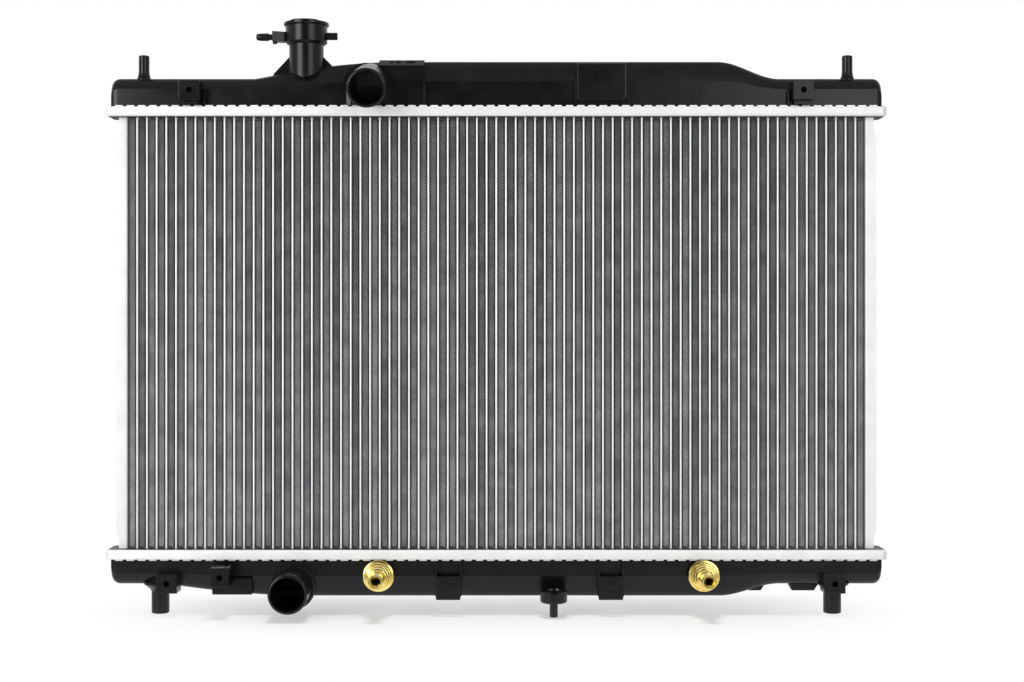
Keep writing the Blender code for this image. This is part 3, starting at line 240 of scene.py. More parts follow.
def grown(name, group, inputs, values):
    """A piece made by a node tree, turned into a plain mesh."""
    piece = bpy.data.objects.new(name, bpy.data.meshes.new(name))
    bpy.context.scene.collection.objects.link(piece)
    grower = piece.modifiers.new("grow", 'NODES')
    grower.node_group = group
    for label, value in values.items():
        grower[inputs[label]] = value
    bpy.context.view_layer.update()
    made = bpy.data.meshes.new_from_object(piece.evaluated_get(bpy.context.evaluated_depsgraph_get()))
    piece.modifiers.clear()
    piece.data = made
    smooth(piece)
    return piece


def smooth(piece, angle=32):
    """Smooth shading, with a crease where faces meet at more than the angle in degrees."""
    piece.data.shade_smooth()
    piece.data.set_sharp_from_angle(angle=radians(angle))


def tube_place(index):
    """How far right of the middle a tube stands."""
    return (index - (TUBE_COUNT - 1) / 2) * TUBE_PITCH


tube_low, tube_high = (corner.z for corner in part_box("tube_bank_01"))
fin_low = core_base + FIN_END
fin_height = core_top - FIN_END - fin_low
folds = round(fin_height / FOLD_PITCH)
common = {"Folds": folds, "Fold pitch": fin_height / folds, "Fold flat": FOLD_FLAT,
          "Fin width": TUBE_PITCH - TUBE_WIDTH - 2 * FIN_SHEET, "Fin height": fin_height,
          "Fin depth": FIN_DEPTH, "Fin rise": FIN_RISE, "Fin sheet": FIN_SHEET, "Tube width": TUBE_WIDTH,
          "Tube depth": TUBE_DEPTH, "Tube length": tube_high - tube_low, "Step": (TUBE_PITCH, 0.0, 0.0),
          "Fin stock": fin_stock, "Tube stock": drawn_tube}
for number in range(TUBE_COUNT // TUBES_PER_BANK):
    first = tube_place(number * TUBES_PER_BANK)
    piece = grown(f"core_bank_{number + 1:02d}", bank, bank_inputs, common | {
        "Fin columns": TUBES_PER_BANK - 1, "Tubes": TUBES_PER_BANK,
        "First fin": (first + TUBE_PITCH / 2, core_y, fin_low), "First tube": (first, core_y, tube_low)})
    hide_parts(f"tube_bank_{number + 1:02d}")
    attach(piece, "radiator")
for number in range(TUBE_COUNT // TUBES_PER_BANK + 1):
    left = tube_place(number * TUBES_PER_BANK - 1)
    piece = grown(f"folded_fin_{number + 1:02d}", bank, bank_inputs, common | {
        "Fin columns": 1, "Tubes": 0,
        "First fin": (left + TUBE_PITCH / 2, core_y, fin_low), "First tube": (left, core_y, tube_low)})
    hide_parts(f"fin_strip_{number + 1:02d}")
    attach(piece, "radiator")


# Side plates: pressed aluminium channels that close the core at its ends and keep the
# header plates apart. They open outwards and their flanges are wider between the ends.
PLATE_SHEET = 1.2 * mm
PLATE_BEND = 2.4 * mm
PLATE_WAIST = 2.8 * mm
WAIST_LENGTH = 10.5 * mm
WAIST_RAMP = 10 * mm
# Painted shade on the header plates' core side pales out between these distances from the core's middle
PAINTED_SHADE_FROM = 9 * mm
PAINTED_SHADE_TO = 17 * mm
BEND_STEPS = 5

# Brazed sheet: near white and satin, with faint cloudy marks of flux some 25 mm across. The
# sides of the header plates that face the core lie in the core's shade, painted into their
# colour as near black next to the core and paler further out.
brazed_sheet, tree, spot = new_material("flux_brazed_aluminium_sheet_painted_shade")
clouds = add(tree, "ShaderNodeTexNoise", {"Vector": spot, "Scale": 40.0, "Detail": 4.0})
tone = add(tree, "ShaderNodeValToRGB", {"Fac": clouds.outputs["Fac"]},
           stops=((0.32, "#dadbdc"), (0.62, "#e3e3e2")))
# Painted shade: the header plates' faces towards the core are darkened, most near the core
header_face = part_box("top_header")[0].z
where = add(tree, "ShaderNodeSeparateXYZ", {0: spot})
from_centre = add(tree, "ShaderNodeMath", {0: where.outputs["Z"], 1: middle_z}, operation="SUBTRACT")
upwards = add(tree, "ShaderNodeMath", {0: from_centre}, operation="ABSOLUTE")
core_side = add(tree, "ShaderNodeMath", {0: upwards, 1: header_face - middle_z, 2: 0.1 * mm},
                operation="COMPARE")
across = add(tree, "ShaderNodeMath", {0: where.outputs["Y"], 1: core_y}, operation="SUBTRACT")
from_core = add(tree, "ShaderNodeMath", {0: across}, operation="ABSOLUTE")
shade_fade = add(tree, "ShaderNodeMapRange", {"Value": from_core, "From Min": PAINTED_SHADE_FROM, "From Max": PAINTED_SHADE_TO})
painted_shade_ramp = add(tree, "ShaderNodeValToRGB", {"Fac": shade_fade},
            stops=((0.0, "#1c1c1d"), (1.0, "#77787a")))
painted_shade = add(tree, "ShaderNodeMix", {"Factor": core_side, "A": tone, "B": painted_shade_ramp}, data_type="RGBA")
fine = add(tree, "ShaderNodeTexNoise", {"Vector": spot, "Scale": 900.0, "Detail": 2.0})
dull = add(tree, "ShaderNodeMapRange", {"Value": fine.outputs["Fac"], "To Min": 0.4, "To Max": 0.55})
grain = add(tree, "ShaderNodeBump", {"Height": fine.outputs["Fac"], "Strength": 0.06, "Distance": 0.0003})
surface = add(tree, "ShaderNodeBsdfPrincipled", {"Base Color": painted_shade.outputs[2], "Metallic": 0.25,
                                                 "Roughness": dull, "Normal": grain})
add(tree, "ShaderNodeOutputMaterial", {"Surface": surface})


def loft(rings, closed=False):
    """Skin a row of rings of points. The ends are capped, or joined to each other."""
    mesh = bmesh.new()
    rows = [[mesh.verts.new(point) for point in ring] for ring in rings]
    if closed:
        rows.append(rows[0])
    for low, high in zip(rows, rows[1:]):
        for i in range(len(low)):
            j = (i + 1) % len(low)
            mesh.faces.new((low[i], low[j], high[j], high[i]))
    if not closed:
        mesh.faces.new(rows[0])
        mesh.faces.new(rows[-1])
    bmesh.ops.recalc_face_normals(mesh, faces=mesh.faces)
    return mesh


def as_piece(name, mesh, material):
    """A piece of the scene from a mesh, in one material."""
    data = bpy.data.meshes.new(name)
    mesh.to_mesh(data)
    mesh.free()
    data.materials.append(material)
    piece = bpy.data.objects.new(name, data)
    bpy.context.scene.collection.objects.link(piece)
    smooth(piece)
    return piece


def bend(centre, radius, start, end):
    """Points of a bend in a plan, from one angle in degrees to another."""
    turns = [radians(start + (end - start) * i / BEND_STEPS) for i in range(BEND_STEPS + 1)]
    return [(centre[0] + radius * cos(a), centre[1] + radius * sin(a)) for a in turns]


for name, side in (("left", -1), ("right", 1)):
    node = f"{name}_side_plate"
    low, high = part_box(node)
    web = min(abs(low.x), abs(high.x))
    wide = high.x - low.x
    narrow = wide - PLATE_WAIST
    half = (high.y - low.y) / 2
    rings = []
    ramp_end = WAIST_LENGTH + WAIST_RAMP
    for z, flange in ((low.z, narrow), (low.z + WAIST_LENGTH, narrow), (low.z + ramp_end, wide),
                      (high.z - ramp_end, wide), (high.z - WAIST_LENGTH, narrow), (high.z, narrow)):
        tip = web + flange
        corner = web + PLATE_BEND
        inner = PLATE_BEND - PLATE_SHEET
        plan = [(tip, -half)] + bend((corner, -half + PLATE_BEND), PLATE_BEND, 270, 180)
        plan += bend((corner, half - PLATE_BEND), PLATE_BEND, 180, 90)
        plan += [(tip, half), (tip, half - PLATE_SHEET)] + bend((corner, half - PLATE_BEND), inner, 90, 180)
        plan += bend((corner, -half + PLATE_BEND), inner, 180, 270) + [(tip, -half + PLATE_SHEET)]
        rings.append([Vector((side * x, y + core_y, z)) for x, y in plan])
    piece = as_piece(f"{name}_channel", loft(rings), brazed_sheet)
    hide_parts(node)
    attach(piece, "radiator")


# Header plates: shallow aluminium troughs that hold the tube ends. Their rims are cut
# into tabs, which are folded over the tank's foot one after another to clamp it.
HEADER_SHEET = 1.5 * mm
HEADER_CORNER = 6 * mm
HEADER_BEND = 2.6 * mm
NOTCH_DEPTH = 1.7 * mm
TAB_PITCH = 11.2 * mm
TAB_WIDTH = 7.2 * mm
TAB_REACH = 3.8 * mm
TAB_BEND = 2.0 * mm
TAB_LAP = 0.6 * mm
TIP_CUT = 0.35 * mm
CORNER_STEPS = 6


def rounded_rectangle(half_x, half_y, corner, z):
    """A ring of points around the middle of the core."""
    ring = []
    for quarter, (sx, sy) in enumerate(((1, 1), (-1, 1), (-1, -1), (1, -1))):
        for step in range(CORNER_STEPS + 1):
            angle = (quarter + step / CORNER_STEPS) * pi / 2
            ring.append(Vector((sx * (half_x - corner) + corner * cos(angle),
                                core_y + sy * (half_y - corner) + corner * sin(angle), z)))
    return ring


rows, row_inputs, given = new_growth("folded_crimp_tabs", {
    "Object": ("Tab",), "Int": ("Long tabs", "End tabs"), "Float": ("Tab pitch",), "Material": ("Sheet",),
    "Vector": ("Front start", "Back start", "Left start", "Right start")})
tab_shape = add(rows, "GeometryNodeObjectInfo", {"Object": given["Tab"]})
step_x = add(rows, "ShaderNodeCombineXYZ", {0: given["Tab pitch"]})
step_y = add(rows, "ShaderNodeCombineXYZ", {1: given["Tab pitch"]})
tab_rows = []
for start, count, step, turn in (
        ("Front start", "Long tabs", step_x, 0), ("Back start", "Long tabs", step_x, 180),
        ("Left start", "End tabs", step_y, -90), ("Right start", "End tabs", step_y, 90)):
    line = add(rows, "GeometryNodeMeshLine", {"Count": given[count], "Start Location": given[start],
                                              "Offset": step}, mode="OFFSET")
    tab_rows.append(add(rows, "GeometryNodeInstanceOnPoints", {
        "Points": line, "Instance": tab_shape.outputs["Geometry"], "Rotation": (0, 0, radians(turn))}))
every_row = add(rows, "GeometryNodeJoinGeometry", {0: tab_rows})
real_tabs = add(rows, "GeometryNodeRealizeInstances", {"Geometry": every_row})
sheet_tabs = add(rows, "GeometryNodeSetMaterial", {"Geometry": real_tabs, "Material": given["Sheet"]})
add(rows, "NodeGroupOutput", {0: sheet_tabs})

for name, up in (("top", 1), ("bottom", -1)):
    node = f"{name}_header"
    low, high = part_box(node)
    base, rim = (low.z, high.z) if up > 0 else (high.z, low.z)
    half_x = (high.x - low.x) / 2
    half_y = (high.y - low.y) / 2
    wall = abs(rim - base) - NOTCH_DEPTH
    corner = (HEADER_BEND, HEADER_BEND)
    profile = bend(corner, HEADER_BEND, 270, 180) + [(0.0, wall), (HEADER_SHEET, wall)]
    profile += bend(corner, HEADER_BEND - HEADER_SHEET, 180, 270)
    trough = loft([rounded_rectangle(half_x - inset, half_y - inset, HEADER_CORNER - inset, base + up * rise)
                   for inset, rise in profile])
    piece = as_piece(f"{name}_header_trough", trough, brazed_sheet)

    # A tab, as (inwards, below the rim), with the corners of its tip cut back
    corner = (TAB_BEND, TAB_BEND)
    profile = [(0.0, NOTCH_DEPTH + TAB_LAP)] + bend(corner, TAB_BEND, 180, 270)
    profile += [(TAB_REACH, 0.0), (TAB_REACH, HEADER_SHEET)]
    profile += bend(corner, TAB_BEND - HEADER_SHEET, 270, 180) + [(HEADER_SHEET, NOTCH_DEPTH + TAB_LAP)]
    tab_rings = []
    for share, cut in ((-0.5, TIP_CUT), (-0.43, 0.0), (0.43, 0.0), (0.5, TIP_CUT)):
        tab_rings.append([Vector((share * TAB_WIDTH, y - (cut if y == TAB_REACH else 0.0), rim - up * drop))
                          for y, drop in profile])
    tab = as_piece("tab_pattern", loft(tab_rings), brazed_sheet)
    long_tabs = int((2 * half_x - 2 * HEADER_CORNER) / TAB_PITCH)
    end_tabs = int((2 * half_y - 2 * HEADER_CORNER) / TAB_PITCH)
    first_x = -(long_tabs - 1) / 2 * TAB_PITCH
    first_y = core_y - (end_tabs - 1) / 2 * TAB_PITCH
    tabs = grown(f"{name}_crimp_tabs", rows, row_inputs, {
        "Tab": tab, "Long tabs": long_tabs, "End tabs": end_tabs, "Tab pitch": TAB_PITCH,
        "Sheet": brazed_sheet,
        "Front start": (first_x, core_y - half_y, 0.0), "Back start": (first_x, core_y + half_y, 0.0),
        "Left start": (-half_x, first_y, 0.0), "Right start": (half_x, first_y, 0.0)})
    bpy.data.objects.remove(tab, do_unlink=True)
    for part in (piece, tabs):
        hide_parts(node)
        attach(part, "radiator")


# Gaskets and seals: moulded EPDM rubber, pressed between the nylon and the metal, where
# little of it can be seen. It is matt black with a fine dusty grain.
epdm, tree, spot = new_material("moulded_epdm_rubber")
dust = add(tree, "ShaderNodeTexNoise", {"Vector": spot, "Scale": 500.0, "Detail": 3.0})
tone = add(tree, "ShaderNodeValToRGB", {"Fac": dust.outputs["Fac"]},
           stops=((0.0, "#151515"), (1.0, "#232323")))
surface = add(tree, "ShaderNodeBsdfPrincipled", {"Base Color": tone, "Roughness": 0.78})
add(tree, "ShaderNodeOutputMaterial", {"Surface": surface})
for node in ("top_gasket", "bottom_gasket", "oil_fitting_seal_left", "oil_fitting_seal_right"):
    nodes[node].material_slots[0].material = epdm


# Oil cooler: a brazed flat box inside the bottom tank, which nobody sees once the tank
# is crimped on. It is of the same sheet as the header plates.
nodes["oil_cooler"].material_slots[0].material = brazed_sheet


# Bottom tank: one moulding of glass-filled nylon with its lower hose neck, two pegs, screw
# bosses, pockets for the fan shroud's tabs and the drain cup. The walls run straight
# from the foot and then close in an arch.
TANK_WALL = 2.5 * mm
TANK_END_INSET = 3.9 * mm
TANK_SIDE_INSET = 5.0 * mm
TANK_CROWN = 2.0 * mm
TANK_END = 8.0 * mm
FOOT_HEIGHT = 3.8 * mm
FOOT_SINK = 4.0 * mm
CAVITY_SINK = 9.5 * mm
CREASE_ANGLE = 11.5
HOSE_BORE, HOSE_NECK, HOSE_BEAD = 16.75, 18.75, 19.45
SCREW_BOSS_HEIGHT = 19 * mm
OIL_FITTINGS = {"left": -117 * mm, "right": 206 * mm}
OIL_FITTING_Z = 40.3 * mm
ARCH_STEPS = 14
ARCH_FOOT = radians(45)
RAMP_STEPS = 20
END_STEPS = 8

# Glass-filled nylon: satin black. Fibres near the skin give a fine grain of about 0.7 mm, and
# there are cloudy changes of gloss, some 20 mm across, where the melt flowed.
nylon, tree, spot = new_material("moulded_glass_filled_nylon")
fibres = add(tree, "ShaderNodeTexNoise", {"Vector": spot, "Scale": 1500.0, "Detail": 3.0})
flow = add(tree, "ShaderNodeTexNoise", {"Vector": spot, "Scale": 45.0, "Detail": 3.0})
tone = add(tree, "ShaderNodeValToRGB", {"Fac": flow.outputs["Fac"]},
           stops=((0.35, "#0b0b0c"), (0.65, "#101011")))
both = add(tree, "ShaderNodeMath", {0: fibres.outputs["Fac"], 1: 0.35, 2: flow.outputs["Fac"]},
           operation="MULTIPLY_ADD")
gloss = add(tree, "ShaderNodeMapRange", {"Value": both, "From Min": 0.35, "From Max": 0.95,
                                         "To Min": 0.2, "To Max": 0.3})
grain = add(tree, "ShaderNodeBump", {"Height": fibres.outputs["Fac"], "Strength": 0.12, "Distance": 0.0002})
surface = add(tree, "ShaderNodeBsdfPrincipled", {"Base Color": tone, "Roughness": gloss, "Normal": grain,
                                                 "Specular IOR Level": 0.3})
add(tree, "ShaderNodeOutputMaterial", {"Surface": surface})


def ease(t):
    """A smooth step from 0 to 1."""
    t = min(max(t, 0.0), 1.0)
    return t * t * (3 - 2 * t)


def tank_stations(end, middle, left_ramp, right_ramp):
    """Places along a tank with the height of its straight side and of its crest there."""
    shares = [i / RAMP_STEPS for i in range(RAMP_STEPS + 1)]
    swells = [(left_ramp[0] + t * (left_ramp[1] - left_ramp[0]), ease(t ** 0.6)) for t in shares]
    swells += [(right_ramp[0] + t * (right_ramp[1] - right_ramp[0]), ease(1 - t)) for t in shares]
    return [(x, end[0] + swell * (middle[0] - end[0]), end[1] + swell * (middle[1] - end[1]))
            for x, swell in swells]


def tank_solid(stations, half_x, half_y, start, face, up, shrink=0.0):
    """The tank's outside as a solid, or its inside when shrunk by the wall."""
    half_x -= shrink
    half_y -= shrink
    radius = TANK_END - shrink
    first, last = stations[0], stations[-1]
    ends = []
    for step in range(END_STEPS + 1):
        angle = step / END_STEPS * pi / 2
        ends.append((half_x - radius * (1 - cos(angle)), radius * (1 - sin(angle))))
    spans = [(-x, half_y - drop / 2, first[1] - shrink - drop, first[2] - shrink - drop) for x, drop in ends]
    spans += [(x, half_y, straight - shrink, crest - shrink) for x, straight, crest in stations]
    spans += [(x, half_y - drop / 2, last[1] - shrink - drop, last[2] - shrink - drop)
              for x, drop in reversed(ends)]
    rings = []
    for x, depth, straight, crest in spans:
        arch = []
        for step in range(ARCH_STEPS + 1):
            angle = ARCH_FOOT + step / ARCH_STEPS * (pi / 2 - ARCH_FOOT)
            inset = 1 - cos(angle) / cos(ARCH_FOOT)
            climb = (sin(angle) - sin(ARCH_FOOT)) / (1 - sin(ARCH_FOOT))
            arch.append((depth - (depth - TANK_CROWN) * inset, straight + (crest - straight) * climb))
        section = [(depth, start)] + arch + [(-y, z) for y, z in reversed(arch)] + [(-depth, start)]
        rings.append([Vector((x, core_y + y, face + up * z)) for y, z in section])
    return loft(rings)


def circle(radius, height, sides):
    """A level ring of points, its radius and height in millimetres."""
    turns = [2 * pi * i / sides for i in range(sides)]
    return [Vector((radius * mm * cos(a), radius * mm * sin(a), height * mm)) for a in turns]


def turned(profile, point, direction=(0, 0, 1), sides=64, closed=False):
    """A round piece from (radius, height) pairs in millimetres, set on a point along a direction."""
    turn = Vector((0, 0, 1)).rotation_difference(Vector(direction)).to_matrix().to_4x4()
    place = Matrix.Translation(Vector(point)) @ turn
    return loft([[place @ p for p in circle(radius, height, sides)] for radius, height in profile], closed)


def rod(radius, start, end, sides=64):
    """A round bar, its radius in millimetres, between two points."""
    run = Vector(end) - Vector(start)
    return turned(((radius, 0.0), (radius, run.length / mm)), start, run, sides)


def moulded_block(low, high, edge):
    """A block with eased edges, as a mould leaves it."""
    mesh = bmesh.new()
    bmesh.ops.create_cube(mesh, size=1.0)
    size = Vector(high) - Vector(low)
    middle = (Vector(high) + Vector(low)) / 2
    place = Matrix.Translation(middle) @ Matrix.Diagonal((*size, 1.0))
    bmesh.ops.transform(mesh, matrix=place, verts=mesh.verts)
    bmesh.ops.bevel(mesh, geom=mesh.edges, offset=edge, segments=3, profile=0.5, affect='EDGES',
                    clamp_overlap=True)
    bmesh.ops.recalc_face_normals(mesh, faces=mesh.faces)
    return mesh


def prism(outline, y_front, y_back):
    """A plate with the given (x, z) outline between two depths."""
    return loft([[Vector((x, y, z)) for x, z in outline] for y in (y_front, y_back)])


def combine(piece, operation, meshes):
    """Join or cut a piece by closed meshes, one after another."""
    tools = []
    for mesh in meshes:
        data = bpy.data.meshes.new("tool")
        mesh.to_mesh(data)
        mesh.free()
        tool = bpy.data.objects.new("tool", data)
        bpy.context.scene.collection.objects.link(tool)
        modifier = piece.modifiers.new(operation, 'BOOLEAN')
        modifier.operation = operation
        modifier.solver = 'MANIFOLD'
        modifier.object = tool
        tools.append(tool)
    bpy.context.view_layer.update()
    made = bpy.data.meshes.new_from_object(piece.evaluated_get(bpy.context.evaluated_depsgraph_get()))
    piece.modifiers.clear()
    piece.data = made
    for tool in tools:
        bpy.data.objects.remove(tool, do_unlink=True)


def tank_foot(node, up):
    """The flange that the tabs hold down, inside the header's trough."""
    low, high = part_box(node)
    rim = high.z if up > 0 else low.z
    top = rim - up * (HEADER_SHEET + 0.1 * mm)
    inset = HEADER_SHEET + 0.3 * mm
    half_x, half_y = (high.x - low.x) / 2 - inset, (high.y - low.y) / 2 - inset
    return loft([rounded_rectangle(half_x, half_y, HEADER_CORNER - inset, z)
                 for z in (top - up * FOOT_HEIGHT, top)])


def hose_neck(mouth, root, inside):
    """A neck with a bead at its mouth for the hose clamp, and the cutter for its bore."""
    run = Vector(root) - Vector(mouth)
    profile = ((HOSE_BORE + 0.9, 0.0), (HOSE_NECK - 0.3, 0.25), (HOSE_NECK, 0.7), (HOSE_BEAD - 0.2, 1.3),
               (HOSE_BEAD, 2.0), (HOSE_BEAD, 3.6), (HOSE_BEAD - 0.25, 4.4), (HOSE_NECK, 5.2),
               (HOSE_NECK, run.length / mm))
    outside = Vector(mouth) - run.normalized() * 5 * mm
    return turned(profile, mouth, run, 96), rod(HOSE_BORE, outside, inside, 96)


def screw_boss(x, z, width=21 * mm, reach=15 * mm):
    """A block for a self-tapping screw, and the cutter for its hole."""
    front = front_wall - reach
    block = moulded_block((x - width / 2, front, z - SCREW_BOSS_HEIGHT / 2),
                          (x + width / 2, inner_front, z + SCREW_BOSS_HEIGHT / 2), 0.6 * mm)
    hole = rod(3.1, (x, front - 1 * mm, z), (x, front + 12 * mm, z), 32)
    return block, hole


header_low, header_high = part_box("bottom_header")
tank_half_x = (header_high.x - header_low.x) / 2 - TANK_END_INSET
tank_half_y = (header_high.y - header_low.y) / 2 - TANK_SIDE_INSET
face = header_low.z
front_wall = core_y - tank_half_y
inner_front = core_y - tank_half_y / 2
stations = tank_stations((13.0 * mm, 24.7 * mm), (15.4 * mm, 36.9 * mm), (-335 * mm, -187 * mm),
                         (224 * mm, 283.5 * mm))
bottom_tank = as_piece("bottom_tank_moulding",
                       tank_solid(stations, tank_half_x, tank_half_y, -FOOT_SINK, face, -1), nylon)
joined = [tank_foot("bottom_header", -1)]
cuts = [tank_solid(stations, tank_half_x, tank_half_y, -CAVITY_SINK, face, -1, TANK_WALL)]

# Pegs for the rubber bushes, with a flared skirt, and a screw boss in front of each
for x, boss_x in ((-337.5 * mm, -326 * mm), (337.5 * mm, 334.4 * mm)):
    joined.append(turned(((8.0, 0.0), (8.7, 0.4), (8.9, 1.2), (8.9, 22.0), (10.5, 24.5), (16.5, 29.5),
                          (16.5, 31.5), (8.0, 38.0)), (x, core_y, 0.0)))
    boss, hole = screw_boss(boss_x, 33.2 * mm)
    joined.append(boss)
    cuts.append(hole)

# Long boss for a hose clip with the saddle block beside it, and blocks under the right end
boss, hole = screw_boss(-270.8 * mm, 41.8 * mm, width=18.4 * mm, reach=30 * mm)
joined.append(boss)
cuts.append(hole)
joined.append(moulded_block((-283 * mm, front_wall - 3 * mm, 20.5 * mm),
                            (-243 * mm, core_y + 2 * mm, 37.3 * mm), 1.2 * mm))
for low_x, high_x in ((249.5 * mm, 270.5 * mm), (293 * mm, 324 * mm)):
    joined.append(prism(((low_x + 4 * mm, 22.4 * mm), (high_x - 5 * mm, 22.4 * mm), (high_x, 30.0 * mm),
                         (high_x, 40.0 * mm), (low_x, 40.0 * mm), (low_x, 30.0 * mm)),
                        core_y - 1.2 * mm, core_y + 10.8 * mm))

# Lower hose neck on a round boss, with a skirt up to the foot
neck_x, neck_z = -202.5 * mm, 27.6 * mm
neck, bore = hose_neck((neck_x, core_y - 58 * mm, neck_z), (neck_x, core_y, neck_z),
                       (neck_x, core_y + 4 * mm, neck_z))
joined.append(turned(((20.8, 0.0), (22.2, 1.4), (22.2, 22.0), (21.0, 23.2)),
                     (neck_x, front_wall - 3.5 * mm, neck_z), (0, 1, 0), 96))
joined.append(moulded_block((neck_x - 20 * mm, front_wall - 1.6 * mm, neck_z),
                            (neck_x + 20 * mm, core_y - 2 * mm, face - 0.3 * mm), 0.8 * mm))
joined.append(neck)
cuts.append(bore)

# Pockets for the fan shroud's lower tabs: a plate hung on two thin ribs, with a screw hole
PLATE_HALF = 12.2 * mm
plate_back = front_wall - 8.5 * mm
rib_front = plate_back - 1.2 * mm
rib = ((inner_front, 25.0 * mm), (inner_front, face - 0.3 * mm), (front_wall - 1.8 * mm, face - 0.3 * mm),
       (rib_front, 38.5 * mm), (rib_front, 20.0 * mm), (front_wall - 2 * mm, 20.0 * mm))
for x in (-47.7 * mm, 113.5 * mm):
    joined.append(moulded_block((x - PLATE_HALF, plate_back - 2.5 * mm, 16.6 * mm),
                                (x + PLATE_HALF, plate_back, 40.2 * mm), 1.1 * mm))
    for rib_x in (x - PLATE_HALF, x + PLATE_HALF):
        joined.append(loft([[Vector((rib_x + t, y, z)) for y, z in rib] for t in (-0.8 * mm, 0.8 * mm)]))
    cuts.append(rod(2.2, (x, plate_back - 5 * mm, 28.2 * mm), (x, plate_back + 1 * mm, 28.2 * mm), 40))

# Drain cup with its spout. The drain plug sits in it, and a notch in the rim lets a key in
drain = Vector((56.8 * mm, core_y - 24.0 * mm, 0.0))
joined.append(turned(((3.5, 0.0), (4.1, 0.6), (4.1, 13.6), (12.0, 14.6), (13.2, 15.4), (13.5, 16.4),
                      (13.5, 26.0), (13.1, 26.5)), drain))
joined.append(moulded_block((drain.x - 12 * mm, drain.y, 15.2 * mm),
                            (drain.x + 12 * mm, core_y - 2 * mm, 26.2 * mm), 0.6 * mm))
cuts.append(turned(((2.0, -1.0), (2.0, 17.5), (5.4, 17.5), (5.4, 24.3), (9.6, 24.4), (10.4, 27.5)), drain))
cuts.append(moulded_block((drain.x - 3.0 * mm, drain.y - 20 * mm, 24.0 * mm),
                          (drain.x + 3.0 * mm, drain.y, 30 * mm), 0.3 * mm))

# Round faces and holes for the oil fittings
for x in OIL_FITTINGS.values():
    joined.append(rod(13.0, (x, front_wall - 4.0 * mm, OIL_FITTING_Z), (x, inner_front, OIL_FITTING_Z)))
    cuts.append(rod(8.3, (x, front_wall - 8 * mm, OIL_FITTING_Z), (x, front_wall + 5 * mm, OIL_FITTING_Z)))
combine(bottom_tank, 'UNION', joined)
combine(bottom_tank, 'DIFFERENCE', cuts)
smooth(bottom_tank, CREASE_ANGLE)
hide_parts("bottom_tank", "outlet_neck", "left_shroud_pocket", "right_shroud_pocket")
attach(bottom_tank, "radiator")


# Drain plug: a slotted nylon screw with an O-ring, deep in the drain cup. It unscrews
# upwards: it turns and rises, and the ring rises with it.
plug_body = turned(((4.6, 17.8), (5.1, 18.3), (5.1, 22.2), (3.8, 22.2), (3.8, 24.1), (5.1, 24.1), (5.1, 25.2),
                    (4.7, 25.6)), drain, sides=48)
plug = as_piece("slotted_drain_plug", plug_body, nylon)
combine(plug, 'DIFFERENCE', [moulded_block(drain + Vector((-8 * mm, -0.7 * mm, 24.3 * mm)),
                                           drain + Vector((8 * mm, 0.7 * mm, 28 * mm)), 0.2 * mm)])
smooth(plug)
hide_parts("drain_plug")
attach(plug, "plug")
turns = [2 * pi * i / 12 for i in range(12)]
ring_section = [(4.6 + 0.5 * cos(a), 23.15 + 0.62 * sin(a)) for a in turns]
ring = as_piece("drain_o_ring", turned(ring_section, drain, sides=48, closed=True), epdm)
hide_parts("drain_seal")
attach(ring, "plug_carrier")


# Oil fittings: turned from brass bar, each with a wide flange, a stepped cone and a hose
# nozzle. A short slot is sawn down from the bore at the tip.
brass, tree, spot = new_material("turned_brass")
tarnish = add(tree, "ShaderNodeTexNoise", {"Vector": spot, "Scale": 160.0, "Detail": 4.0})
tone = add(tree, "ShaderNodeValToRGB", {"Fac": tarnish.outputs["Fac"]},
           stops=((0.3, "#f0cf66"), (0.7, "#fff0a6")))
surface = add(tree, "ShaderNodeBsdfPrincipled", {"Base Color": tone, "Metallic": 1.0, "Roughness": 0.2})
add(tree, "ShaderNodeOutputMaterial", {"Surface": surface})

fitting_profile = (
    (3.5, 4.5), (6.0, 4.5), (6.0, 6.8), (8.0, 6.8), (8.0, 19.6), (15.3, 19.6), (15.6, 20.0), (15.6, 22.2),
    (15.1, 22.8), (13.6, 23.2), (13.4, 23.6), (12.6, 26.4), (11.8, 26.6), (11.6, 27.0), (10.8, 30.2),
    (10.1, 30.4), (9.9, 30.8), (9.1, 35.0), (8.4, 35.2), (8.2, 35.6), (7.5, 41.0), (6.9, 42.2), (6.5, 46.0),
    (6.5, 54.4), (7.3, 55.0), (7.4, 56.0), (7.0, 60.4), (6.5, 61.0), (5.4, 61.0), (3.5, 58.6))
for name, x in OIL_FITTINGS.items():
    centre = (x, core_y, OIL_FITTING_Z)
    fitting = as_piece(f"brass_oil_fitting_{name}",
                       turned(fitting_profile, centre, (0, -1, 0), 72, closed=True), brass)
    slot = moulded_block((x - 0.8 * mm, core_y - 63 * mm, OIL_FITTING_Z - 5.1 * mm),
                         (x + 0.8 * mm, core_y - 55.5 * mm, OIL_FITTING_Z), 0.15 * mm)
    combine(fitting, 'DIFFERENCE', [slot])
    smooth(fitting, 16)
    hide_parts(f"oil_fitting_{name}")
    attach(fitting, "radiator")


# Top tank: the same nylon, with the filler neck for a pressure cap, the upper hose neck and
# a block beside it, two locating pins, two screw bosses and a raised pad. It is higher in
# the middle.
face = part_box("top_header")[1].z
stations = tank_stations((16.5 * mm, 28.1 * mm), (24.5 * mm, 45.2 * mm), (-242 * mm, -95 * mm),
                         (222.5 * mm, 283.5 * mm))
top_tank = as_piece("top_tank_moulding",
                    tank_solid(stations, tank_half_x, tank_half_y, -FOOT_SINK, face, 1), nylon)
joined = [tank_foot("top_header", 1)]
cuts = [tank_solid(stations, tank_half_x, tank_half_y, -CAVITY_SINK, face, 1, TANK_WALL)]

# Locating pins with a flared foot and a chamfered tip
for x in (-354 * mm, 352.6 * mm):
    joined.append(turned(((7.4, 26.6), (7.1, 28.2), (6.2, 30.4), (5.6, 33.0), (5.3, 36.0), (5.3, 50.2),
                          (5.0, 51.2), (4.2, 51.7)), (x, core_y, face), sides=48))

